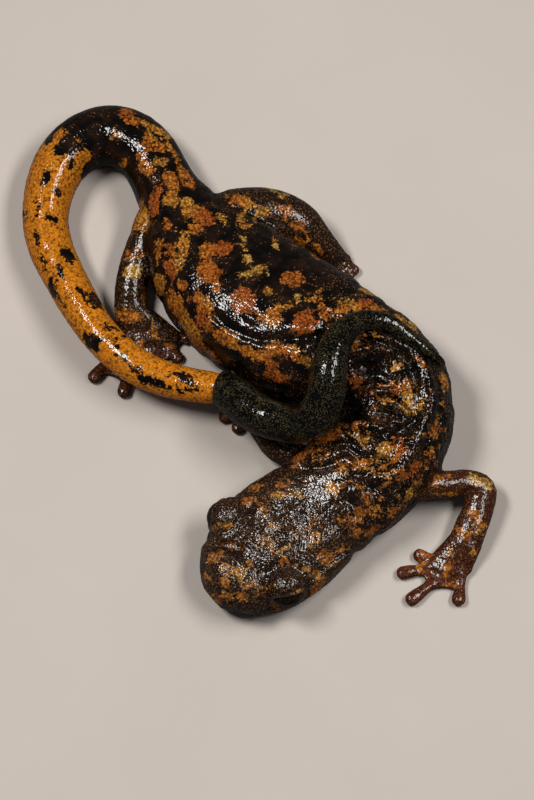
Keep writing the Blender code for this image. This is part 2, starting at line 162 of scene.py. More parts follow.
@dataclass(frozen=True)
class Station:
    """One cross-section: its pixel, its middle's height and its half sizes."""

    x: float
    y: float
    z: float
    wide: float
    up: float
    down: float
    mark: str = ""

    def row(self) -> tuple[float, ...]:
        """The middle's point and the half sizes as six numbers."""
        return (*VIEW.place(self.x, self.y, self.z), self.wide, self.up, self.down)


WIDEST_AT = 0.46
BELLY_REACH = 1.09


def lying(x: float, y: float, top: float, wide: float, mark: str = "") -> Station:
    """A cross-section that rests on the floor, widest a little below half its height."""
    z = top * WIDEST_AT
    return Station(x, y, z, wide, top - z, z * BELLY_REACH, mark)


def held(x: float, y: float, z: float, radius: float, mark: str = "") -> Station:
    """A round cross-section that is held clear of the floor."""
    return Station(x, y, z, radius, radius, radius, mark)


def oval(x: float, y: float, z: float, wide: float, high: float) -> Station:
    """An oval cross-section of a limb."""
    return Station(x, y, z, wide, high, high)


class Way:
    """A smooth run of cross-sections through given stations."""

    bend_room: float = 0.9

    def __init__(self, stations: tuple[Station, ...]) -> None:
        """Fit slopes through the stations.

        Args:
            stations: The cross-sections in order.
        """
        self.stations = stations
        self.rows = np.array([station.row() for station in stations])
        steps = np.linalg.norm(np.diff(self.rows[:, :3], axis=0), axis=1)
        self.at = np.concatenate(([0.0], np.cumsum(steps)))
        rises = np.diff(self.rows, axis=0) / steps[:, None]
        share = (steps[:-1] / (steps[:-1] + steps[1:]))[:, None]
        inner = rises[:-1] * (1.0 - share) + rises[1:] * share
        self.slopes = np.vstack((rises[:1], inner, rises[-1:]))

    @property
    def length(self) -> float:
        """The whole way's length."""
        return float(self.at[-1])

    def mark(self, name: str) -> float:
        """The length at which a marked station stands."""
        return float(self.at[[station.mark for station in self.stations].index(name)])

    def read(self, s: Array) -> Array:
        """Middles and half sizes at lengths along the way.

        Args:
            s: Lengths. Past either end the way runs on straight.

        Returns:
            One row of six numbers for each length.
        """
        s = np.atleast_1d(np.asarray(s, dtype=float))
        i = np.clip(np.searchsorted(self.at, s) - 1, 0, len(self.at) - 2)
        span = self.at[i + 1] - self.at[i]
        t = np.clip((s - self.at[i]) / span, 0.0, 1.0)[:, None]
        a, b = self.rows[i], self.rows[i + 1]
        slope_a = self.slopes[i] * span[:, None]
        slope_b = self.slopes[i + 1] * span[:, None]
        rows = a * (2 * t**3 - 3 * t**2 + 1) + slope_a * (t**3 - 2 * t**2 + t)
        rows += b * (3 * t**2 - 2 * t**3) + slope_b * (t**3 - t**2)
        past = (s - np.clip(s, 0.0, self.length))[:, None]
        return rows + past * np.where(past < 0.0, self.slopes[0], self.slopes[-1])

    def axes(self, s: Array) -> tuple[Array, Array, Array]:
        """Unit vectors along, to the left and up at lengths along the way.

        Args:
            s: The lengths.

        Returns:
            The three vectors, with a row for each length.
        """
        reach = 0.05
        s = np.atleast_1d(np.asarray(s, dtype=float))
        along = self.read(s + reach)[:, :3] - self.read(s - reach)[:, :3]
        along /= np.linalg.norm(along, axis=1, keepdims=True)
        left = np.cross((0.0, 0.0, 1.0), along)
        left /= np.linalg.norm(left, axis=1, keepdims=True)
        return along, left, np.cross(along, left)

    def bend(self, s: Array) -> Array:
        """Signed curvature in plan, positive where the way turns left.

        Args:
            s: Lengths along the way.

        Returns:
            One curvature for each length.
        """
        reach = 0.9
        before = self.axes(np.asarray(s) - reach)[0]
        after = self.axes(np.asarray(s) + reach)[0]
        return np.cross(before, after)[:, 2] / (2.0 * reach)

    def rings(self, s: Array, sides: int, crown: Array | float, belly: Array | float, taper: Array) -> Array:
        """Cross-sections as rings of points, kept clear of tight bends.

        Args:
            s: Length of each ring.
            sides: Points in a ring.
            crown: How square the upper half is, 2 being round.
            belly: How square the lower half is.
            taper: For each ring, the shares of its half width and half heights.

        Returns:
            An array of rings, points and coordinates.
        """
        rows = self.read(s)
        _, left, up = self.axes(s)
        bend = self.bend(s)
        room = self.bend_room / np.maximum(np.abs(bend), 1e-6)
        c, d = np.cos(circle(sides))[None], np.sin(circle(sides))[None]
        power = np.where(d > 0.0, 2.0 / crown, 2.0 / belly)
        c = np.sign(c) * np.abs(c) ** power
        d = np.sign(d) * np.abs(d) ** power
        wide = rows[:, 3:4] * taper[:, 0:1]
        inner = c * bend[:, None] > 0.0
        wide = np.where(inner, np.minimum(wide, room[:, None]), wide)
        tall = np.where(d > 0.0, rows[:, 4:5], rows[:, 5:6]) * taper[:, 1:2]
        across = left[:, None] * (wide * c)[..., None]
        return rows[:, None, :3] + across + up[:, None] * (tall * d)[..., None]

    def nearest(self, points: Array, guess: Array) -> Array:
        """The length along the way beside each point, from a near guess.

        Args:
            points: The points.
            guess: A near length for each.

        Returns:
            The lengths.
        """
        s = guess.copy()
        rounds, share, stride, window = 4, 0.7, 0.4, 1.2
        for _ in range(rounds):
            along = self.axes(s)[0]
            step = np.einsum("ij,ij->i", points - self.read(s)[:, :3], along)
            s = np.clip(s + np.clip(share * step, -stride, stride), guess - window, guess + window)
        return s


def evenly(start: float, end: float, step: float) -> Array:
    """Lengths from start to end, evenly spaced and about a step apart."""
    return np.linspace(start, end, max(2, round(abs(end - start) / step)) + 1)


def smooth_step(low: float, high: float, value: Array) -> Array:
    """0 below low and 1 above high, with a soft change between."""
    t = np.clip((value - low) / (high - low), 0.0, 1.0)
    return t * t * (3.0 - 2.0 * t)


def hollow(distance: Array, width: float) -> Array:
    """A groove's profile: 1 in the middle and 0 past its width."""
    share = np.clip(np.abs(distance) / width, 0.0, 1.0)
    return (1.0 - share**2) ** 2


def circle(sides: int) -> Array:
    """Evenly spaced angles round a circle."""
    return 2.0 * math.pi * np.arange(sides) / sides


def unevenness(points: Array, size: float) -> Array:
    """A soft random field over a surface, about -1 to 1."""
    return np.array([noise.noise(Vector(point) / size) for point in points])


class Shell:
    """Closed rings and their faces, gathered until they become one mesh."""

    def __init__(self) -> None:
        """Start empty."""
        self.points: list[Array] = []
        self.faces: list[tuple[int, ...]] = []
        self.labels: list[Array] = []
        self.count = 0

    def add_loft(self, rings: Array, part: int, s: Array) -> None:
        """Add one closed tube.

        Args:
            rings: Rings of points. Both ends are closed to their middles.
            part: The number of the part that the tube belongs to.
            s: The length along the part's way, one for each ring.
        """
        turns, sides, _ = rings.shape
        first = self.count
        ends = np.array((rings[0].mean(axis=0), rings[-1].mean(axis=0)))
        self.points.append(np.vstack((rings.reshape(-1, 3), ends)))
        label = np.repeat(s, sides)
        label = np.concatenate((label, (s[0], s[-1])))
        self.labels.append(np.column_stack((np.full(len(label), float(part)), label)))
        for i in range(turns - 1):
            for k in range(sides):
                n = (k + 1) % sides
                a, b = first + i * sides, first + (i + 1) * sides
                self.faces.append((a + k, a + n, b + n, b + k))
        last = first + (turns - 1) * sides
        poles = first + turns * sides
        for k in range(sides):
            n = (k + 1) % sides
            self.faces.append((first + n, first + k, poles))
            self.faces.append((last + k, last + n, poles + 1))
        self.count += turns * sides + 2

    def add_prism(self, corners: Array, low: float, high: float, part: int) -> None:
        """Add a thin upright prism, such as a web between two digits.

        Args:
            corners: Its outline.
            low: Its lower height.
            high: Its upper height.
            part: The part's number.
        """
        first = self.count
        n = len(corners)
        for z in (low, high):
            self.points.append(np.column_stack((corners[:, :2], np.full(n, z))))
        self.labels.append(np.column_stack((np.full(2 * n, float(part)), np.zeros(2 * n))))
        self.faces.append(tuple(first + k for k in reversed(range(n))))
        self.faces.append(tuple(first + n + k for k in range(n)))
        for k in range(n):
            m = (k + 1) % n
            self.faces.append((first + k, first + m, first + n + m, first + n + k))
        self.count += 2 * n

    def add_ball(self, centre: Array, radii: tuple[float, float, float], turn: float, part: int) -> None:
        """Add an ellipsoid that is turned about the vertical.

        Args:
            centre: Its middle.
            radii: Its half sizes.
            turn: Its turn, in radians.
            part: The part's number.
        """
        cap, turns, sides = 0.06, 22, 32
        polar = np.linspace(cap, math.pi - cap, turns)
        x = np.sin(polar)[:, None] * np.cos(circle(sides))[None] * radii[0]
        y = np.sin(polar)[:, None] * np.sin(circle(sides))[None] * radii[1]
        z = -np.cos(polar)[:, None] * np.ones((1, sides)) * radii[2]
        cos, sin = math.cos(turn), math.sin(turn)
        rings = np.stack((x * cos - y * sin, x * sin + y * cos, z), axis=-1) + centre
        self.add_loft(rings, part, np.zeros(len(polar)))

    def mesh(self, name: str) -> Mesh:
        """Turn what was gathered into a mesh in millimetres.

        Args:
            name: The mesh's name.

        Returns:
            The mesh.
        """
        data = bpy.data.meshes.new(name)
        data.from_pydata(np.vstack(self.points).tolist(), [], self.faces)
        data.update()
        return data


def bake_modifiers(item: Item) -> None:
    """Turn an object's modified shape into its own plain mesh.

    Args:
        item: The object.
    """
    depsgraph = bpy.context.evaluated_depsgraph_get()
    mesh = bpy.data.meshes.new_from_object(item.evaluated_get(depsgraph))
    item.modifiers.clear()
    old, item.data = item.data, mesh
    bpy.data.meshes.remove(old)


def link(name: str, mesh: Mesh) -> Item:
    """Put a mesh into the scene as an object at the origin.

    Args:
        name: The object's name.
        mesh: Its mesh.

    Returns:
        The object.
    """
    item = bpy.data.objects.new(name, mesh)
    bpy.context.scene.collection.objects.link(item)
    return item


class Clay:
    """A mesh's points as arrays, to be smoothed and pushed along its normals."""

    def __init__(self, item: Item) -> None:
        """Read the object's points and edges.

        Args:
            item: The object.
        """
        self.item = item
        self.mesh = item.data
        n = len(self.mesh.vertices)
        self.points = np.empty(n * 3)
        self.mesh.vertices.foreach_get("co", self.points)
        self.points = self.points.reshape(-1, 3)
        edges = np.empty(len(self.mesh.edges) * 2, dtype=np.int32)
        self.mesh.edges.foreach_get("vertices", edges)
        self.edges = edges.reshape(-1, 2)
        self.valence = np.bincount(self.edges.ravel(), minlength=n).astype(float)

    def spread(self, values: Array) -> Array:
        """The mean of each point's neighbours, for a field or for the points.

        Args:
            values: The field, with a row for each point.

        Returns:
            The means.
        """
        a, b = self.edges[:, 0], self.edges[:, 1]
        flat = values.reshape(len(self.points), -1)
        out = np.empty_like(flat)
        for k in range(flat.shape[1]):
            column = flat[:, k]
            total = np.bincount(a, weights=column[b], minlength=len(column))
            total += np.bincount(b, weights=column[a], minlength=len(column))
            out[:, k] = total / np.maximum(self.valence, 1.0)
        return out.reshape(values.shape)

    def smooth(self, rounds: int, share: Array | float = 0.5, keep: float = 0.0) -> None:
        """Relax the points.

        Args:
            rounds: How many times.
            share: How far each point moves to its neighbours' mean, 0 to 1.
            keep: How much of the move is taken back to keep the volume, near 1.05 for all.
        """
        weight = np.broadcast_to(np.asarray(share, dtype=float).reshape(-1, 1), (len(self.points), 1))
        for _ in range(rounds):
            self.points += weight * (self.spread(self.points) - self.points)
            if keep:
                self.points -= keep * weight * (self.spread(self.points) - self.points)

    def soften(self, values: Array, rounds: int) -> Array:
        """Blur a field over the surface.

        Args:
            values: The field.
            rounds: How many times.

        Returns:
            The blurred field.
        """
        for _ in range(rounds):
            values = 0.5 * values + 0.5 * self.spread(values)
        return values

    def store(self) -> None:
        """Write the points back."""
        self.mesh.vertices.foreach_set("co", self.points.ravel())
        self.mesh.update()

    def normals(self) -> Array:
        """Unit normals at the points.

        Returns:
            One row for each point.
        """
        self.store()
        out = np.empty(len(self.points) * 3, dtype=np.float32)
        self.mesh.vertex_normals.foreach_get("vector", out)
        return out.reshape(-1, 3).astype(float)

    def tree(self) -> BVHTree:
        """A search tree of the surface, for rays.

        Returns:
            The tree.
        """
        self.store()
        faces = [tuple(face.vertices) for face in self.mesh.polygons]
        return BVHTree.FromPolygons(self.points.tolist(), faces)

    def field(self, name: str, values: Array) -> None:
        """Keep a field as an attribute for the material."""
        layer = self.mesh.attributes.new(name, "FLOAT", "POINT")
        layer.data.foreach_set("value", values.astype(np.float32))


def cast(tree: BVHTree, x: float, y: float) -> tuple[Array, Array] | None:
    """Where the camera's ray through a pixel meets a surface.

    Args:
        tree: The surface.
        x: Pixels from the left.
        y: Pixels from the top.

    Returns:
        The point and the normal, or None where the ray misses.
    """
    hit = tree.ray_cast(Vector(VIEW.eye()), Vector(VIEW.ray(x, y)))
    if hit[0] is None:
        return None
    return np.array(hit[0]), np.array(hit[1])


@dataclass(frozen=True)
class Blotch:
    """An oval mark of pigment: its middle and half sizes in pixels, and its turn in degrees."""

    x: float
    y: float
    long: float
    wide: float
    turn: float = 0.0
    tint: Tint = Tint.ORANGE

    def reach(self, tree: BVHTree, points: Array) -> Array | None:
        """How deep each point lies inside the mark, in millimetres, negative outside.

        Args:
            tree: The surface that the mark lies on.
            points: The surface's points.

        Returns:
            One depth for each point, or None where the mark misses the surface.
        """
        hit = cast(tree, self.x, self.y)
        if hit is None:
            return None
        centre, normal = hit
        return oval_depth(points, centre, self.spans(centre, normal), normal)

    def spans(self, centre: Array, normal: Array) -> tuple[Array, Array]:
        """The mark's two half axes, laid on the surface as the camera sees them.

        Args:
            centre: The mark's middle on the surface.
            normal: The surface's normal there.

        Returns:
            The two half axes.
        """
        least_slant, most_stretch = 0.35, 1.7
        eye, out = VIEW.eye(), []
        turn = math.radians(self.turn)
        for size, angle in ((self.long, turn), (self.wide, turn + math.pi / 2.0)):
            ray = VIEW.ray(self.x + size * math.cos(angle), self.y + size * math.sin(angle))
            slant = float(ray @ normal)
            slant = math.copysign(max(abs(slant), least_slant), slant)
            step = eye + ray * float((centre - eye) @ normal) / slant - centre
            step -= normal * float(step @ normal)
            reach = size * VIEW.pixel
            out.append(step * min(1.0, most_stretch * reach / max(np.linalg.norm(step), 1e-6)))
        return out[0], out[1]


OVAL_THICKNESS = 1.3


def blotches(*rows: tuple) -> tuple[Blotch, ...]:
    """Oval marks from rows of their values."""
    return tuple(Blotch(*row) for row in rows)


def oval_depth(points: Array, centre: Array, spans: tuple[Array, Array], normal: Array) -> Array:
    """Depth inside an oval on a surface, in millimetres, negative outside it.

    Args:
        points: The surface's points.
        centre: The oval's middle.
        spans: Its two half axes.
        normal: The surface's normal there.

    Returns:
        One depth for each point.
    """
    short = min(np.linalg.norm(spans[0]), np.linalg.norm(spans[1]))
    thick = OVAL_THICKNESS * max(short, 1.0)
    basis = np.linalg.inv(np.column_stack((spans[0], spans[1], normal * thick)))
    share = np.linalg.norm((points - centre) @ basis.T, axis=1)
    return (1.0 - share) * short


@dataclass(frozen=True)
class Crease:
    """A fold in the skin along a line of pixels, pressed in or, where negative, raised."""

    line: tuple[Pair, ...]
    width: float = 0.5
    depth: float = 0.3

    def places(self, tree: BVHTree) -> list[Array]:
        """The fold's line, laid on a surface."""
        hits = [cast(tree, x, y) for x, y in self.line]
        return [hit[0] for hit in hits if hit is not None]

    def press(self, places: list[Array], points: Array) -> Array:
        """How deep the fold presses each point, from its line on the surface.

        Args:
            places: The fold's line on the surface.
            points: The points.

        Returns:
            One depth for each point.
        """
        best = np.full(len(points), 9.0)
        for a, b in zip(places, places[1:]):
            run = b - a
            share = np.clip((points - a) @ run / max(float(run @ run), 1e-9), 0.0, 1.0)
            away = np.linalg.norm(points - a - share[:, None] * run, axis=1)
            best = np.minimum(best, away)
        return self.depth * hollow(best, self.width)


@dataclass(frozen=True)
class Swelling:
    """A soft oval rise, or a hollow where its height is negative."""

    x: float
    y: float
    long: float
    wide: float
    turn: float
    height: float

    def spot(self, tree: BVHTree) -> Spot | None:
        """Where the swelling lies on a surface: its middle, its half axes and the normal.

        Args:
            tree: The surface.

        Returns:
            The three, or None where the swelling misses the surface.
        """
        hit = cast(tree, self.x, self.y)
        if hit is None:
            return None
        shape = Blotch(self.x, self.y, self.long, self.wide, self.turn)
        return hit[0], shape.spans(*hit), hit[1]

    def lift(self, spot: Spot, points: Array) -> Array:
        """How far the swelling lifts each point, from its place on the surface.

        Args:
            spot: Its place on the surface.
            points: The points.

        Returns:
            One height for each point.
        """
        centre, spans, normal = spot
        short = min(np.linalg.norm(spans[0]), np.linalg.norm(spans[1]))
        share = 1.0 - oval_depth(points, centre, spans, normal) / short
        return self.height * (1.0 - np.clip(share, 0.0, 1.0) ** 2) ** 2


# One way leads from the snout over the back and round the tail to its tip.
ANIMAL = (
    lying(212, 594, 3.9, 4.3), lying(230, 579, 4.75, 4.8), lying(248, 564, 5.25, 5.2),
    lying(270, 546, 5.6, 5.6), lying(290, 530, 5.9, 5.65), lying(309, 515, 6.2, 5.35, "neck"),
    lying(329, 499, 6.7, 5.15), lying(352, 480, 7.3, 5.3, "torso_front"),
    lying(370, 463, 7.7, 5.35), lying(384, 445, 7.9, 5.3), lying(394, 423, 8.1, 5.15),
    lying(395, 402, 8.2, 5.1), lying(388.5, 385, 8.3, 5.2), lying(374, 371, 8.6, 5.45),
    lying(354, 358.5, 8.9, 5.7), lying(330, 347.5, 9.2, 6.3, "torso_rear"), lying(301, 332.5, 9.3, 6.65),
    lying(270.5, 314, 9.1, 6.7), lying(241, 292, 8.5, 6.6), lying(215.5, 266.5, 7.7, 6.05),
    lying(194, 239, 6.9, 4.95), lying(181, 214, 6.2, 3.6, "hips"), lying(168, 193, 5.8, 2.95),
    lying(157, 171, 5.6, 2.75), lying(145, 151, 5.6, 2.75, "tail_root"), lying(127, 137, 5.6, 2.8),
    lying(104, 132, 5.5, 2.75), lying(80, 139, 5.3, 2.6, "tail_turn"), lying(60, 157, 5, 2.45),
    lying(47, 186, 4.7, 2.25), lying(43, 216, 4.45, 2.1, "tail_side"), held(49, 246, 2.45, 2.02),
    held(63, 275, 2.75, 1.9), held(80, 305, 3.1, 1.8), held(100, 334, 3.4, 1.7),
    held(118, 352, 3.6, 1.68), held(140, 368, 3.7, 1.65), held(163, 378, 3.7, 1.6),
    held(189, 384.5, 3.8, 1.53), held(208, 387.5, 4, 1.48),
    held(221, 389.5, 4.2, 1.44, "tail_shoulder"), held(225.5, 391, 4.3, 1.64),
    held(233, 395, 4.85, 1.77), held(244, 404, 5.4, 1.8), held(259, 414, 5.95, 1.77),
    held(278, 421, 6.5, 1.72), held(299, 423.5, 7.55, 1.72), held(315.5, 414.5, 8.95, 1.75),
    held(324, 395, 10, 1.75), held(327, 372, 10.9, 1.68), held(333, 350, 11.1, 1.45),
    held(345, 331, 10.7, 1.15), held(364, 321.5, 10.1, 0.87), held(385, 324, 9.5, 0.78),
    held(406, 338, 8.9, 0.68), held(426, 353, 8.2, 0.52), held(442, 366, 7.4, 0.3),
)
WAY = Way(ANIMAL)


@dataclass(frozen=True)
class Limb:
    """One limb: its cross-sections, its palm and the pixel of each digit's tip."""

    stations: tuple[tuple[float, ...], ...]
    palm: Pair
    palm_wide: float
    palm_high: float
    tips: tuple[Pair, ...]
    nodes: tuple[str, ...]
    digit_radius: float = 0.52
    tip_radius: float = 0.57
    web_reach: float = 0.76
    web_dip: float = 0.84
    root_spread: float = 0.5
    web_low: float = 0.1
    web_high: float = 0.66
    sides: int = 28
    digit_sides: int = 18
    digit_steps: int = 22
    tip_steps: int = 8
    digit_wide: float = 1.08
    digit_high: float = 0.86
    waist: float = 0.06
    lie: float = 0.8
    wrist: float = 0.6

    def add_to(self, shell: Shell, part: int) -> Way:
        """Add the limb's tubes, palm, digits and webs to a shell.

        Args:
            shell: Where the tubes go.
            part: The limb's number. The digits take the next number.

        Returns:
            The limb's way.
        """
        way = Way(tuple(oval(*station) for station in self.stations))
        s = evenly(-0.8, way.length, 0.3)
        shell.add_loft(way.rings(s, self.sides, 2.0, 2.0, np.ones((len(s), 2))), part, s)
        self.add_palm(shell, way, part)
        roots = self.roots(way)
        ends = []
        for root, tip in zip(roots, self.tips):
            self.add_digit(shell, root, tip, part + 1)
            ends.append(root + (VIEW.place(*tip, root[2]) - root) * self.web_reach)
        for k in range(len(ends) - 1):
            base = (roots[k] + roots[k + 1]) / 2.0
            middle = base + ((ends[k] + ends[k + 1]) / 2.0 - base) * self.web_dip
            fan = (roots[k], ends[k], middle, ends[k + 1], roots[k + 1])
            shell.add_prism(np.array(fan), self.web_low, self.web_high, part + 1)
        return way

    def roots(self, way: Way) -> list[Array]:
        """Where each digit leaves the palm, spread over its width.

        Args:
            way: The limb's way.

        Returns:
            The places.
        """
        left = way.axes(way.length - self.wrist)[1][0]
        middle = VIEW.place(*self.palm, self.palm_high * self.lie)
        first, last = (VIEW.place(*self.tips[i], 0.0) for i in (0, -1))
        side = math.copysign(self.root_spread * self.palm_wide, float((last - first) @ left))
        return [middle + left * side * share for share in np.linspace(-1.0, 1.0, len(self.tips))]

    def add_palm(self, shell: Shell, way: Way, part: int) -> None:
        """Add the palm from the wrist over the digits' roots.

        Args:
            shell: Where the palm goes.
            way: The limb's way.
            part: The limb's number.
        """
        target = VIEW.place(*self.palm, self.palm_high * self.lie)
        end = way.length - self.wrist
        start = way.read(end)[0]
        _, left, up = way.axes(end)
        share = np.linspace(0.0, 1.55, 18)
        mix = np.minimum(share, 1.0)[:, None]
        taper = np.sqrt(np.clip(1.0 - (np.maximum(share - 1.0, 0.0) / 0.58) ** 2, 0.02, 1.0))
        half = (start[3] + (self.palm_wide - start[3]) * mix[:, 0]) * taper
        tall = (start[4] + (self.palm_high - start[4]) * mix[:, 0]) * taper
        hubs = start[:3] + (target - start[:3]) * share[:, None]
        hubs[:, 2] = np.maximum(tall * self.lie, start[2] + (target[2] - start[2]) * mix[:, 0])
        angle = circle(self.sides)
        across = left[0] * (half[:, None] * np.cos(angle))[..., None]
        rise = up[0] * (tall[:, None] * np.sin(angle))[..., None]
        shell.add_loft(hubs[:, None] + across + rise, part, np.full(len(share), way.length))

    def add_digit(self, shell: Shell, base: Array, tip_pixel: Pair, part: int) -> None:
        """Add one digit, slightly fuller at its tip.

        Args:
            shell: Where the digit goes.
            base: Where it leaves the palm.
            tip_pixel: Its tip in the photograph.
            part: The digits' number.
        """
        tip = VIEW.place(*tip_pixel, self.tip_radius * self.lie)
        end = self.digit_steps
        s = np.concatenate((np.linspace(0.0, 1.0, end), np.ones(self.tip_steps)))
        hub = base + (tip - base) * np.minimum(s, 1.0)[:, None]
        knee = smooth_step(0.0, 0.5, s) * (1.0 - smooth_step(0.6, 1.0, s))
        waist = self.digit_radius - self.waist * knee
        radius = waist + (self.tip_radius - self.digit_radius) * smooth_step(0.6, 0.95, s)
        radius = radius + (self.palm_high - self.digit_radius) * (1.0 - smooth_step(0.0, 0.45, s))
        hub[:, 2] = radius * self.lie
        along = (tip - base) * np.array((1.0, 1.0, 0.0))
        along /= np.linalg.norm(along)
        round_off = np.linspace(0.0, 1.0, self.tip_steps + 1)[1:] * 0.98
        hub[end:] += along * (round_off * self.tip_radius)[:, None]
        radius[end:] = self.tip_radius * np.sqrt(1.0 - round_off**2)
        hub[end:, 2] = self.tip_radius * self.lie
        left = np.array((-along[1], along[0], 0.0))
        up = np.array((0.0, 0.0, 1.0))
        angle = circle(self.digit_sides)
        across = left * (radius[:, None] * self.digit_wide * np.cos(angle))[..., None]
        rise = up * (radius[:, None] * self.digit_high * np.sin(angle))[..., None]
        shell.add_loft(hub[:, None] + across + rise, part, s)


LIMBS = (
    Limb(
        ((396, 490, 3.4, 1.4, 1.5), (422, 484.5, 3, 1.28, 1.35),
         (448, 483.5, 2.6, 1.25, 1.28), (466, 483, 2.3, 1.28, 1.3),
         (477, 488, 2.05, 1.4, 1.3), (476, 504, 1.75, 1.38, 1.2),
         (468, 525, 1.5, 1.45, 1.1), (460, 545, 1.1, 1.55, 0.95)),
        (447.5, 562), 2, 0.68,
        ((417, 553), (400.5, 570), (409, 595.5), (455, 596)),
        ("arm_left_upper", "arm_left_lower", "hand_left"), web_reach=0.7,
    ),
    Limb(
        ((330, 468, 2.7, 1.5, 1.5), (309, 461, 2.5, 1.4, 1.4),
         (289, 454, 2.2, 1.25, 1.25), (275, 446, 1.8, 1.2, 1.1),
         (265, 434, 1.35, 1.1, 0.9), (257, 422, 0.95, 1.1, 0.7)),
        (249, 412), 1.2, 0.6,
        ((238, 428), (225, 417), (224, 401), (238, 388)),
        ("arm_right_upper", "arm_right_lower", "hand_right"),
    ),
    Limb(
        ((190, 233, 3.2, 1.8, 1.8), (209, 224, 3.5, 2.15, 2.15),
         (231, 214, 3.6, 2.3, 2.3), (255, 211, 3.6, 2.3, 2.3),
         (279, 214.5, 3.4, 2.25, 2.2), (300, 224, 3, 2, 2),
         (318, 240, 2.2, 1.5, 1.5), (334, 255, 1.4, 1.15, 1.05)),
        (341, 262), 1.1, 0.66,
        ((354, 269), (349, 280), (340, 289), (328, 290), (316, 280)),
        ("leg_left_upper", "leg_left_lower", "foot_left"),
    ),
    Limb(
        ((184, 205, 3, 1.6, 1.6), (170, 207, 2.9, 1.8, 1.8),
         (156, 217, 2.8, 1.8, 1.8), (146, 238, 2.6, 1.62, 1.62),
         (136, 262, 2.3, 1.5, 1.45), (130, 290, 1.8, 1.45, 1.35),
         (130, 312, 1.35, 1.5, 1.1)),
        (149, 333), 2.9, 0.75,
        ((94, 377), (124, 392), (154, 374), (177, 358), (187, 338)),
        ("leg_right_upper", "leg_right_lower", "foot_right"), web_reach=0.86, web_dip=0.95,
    ),
)
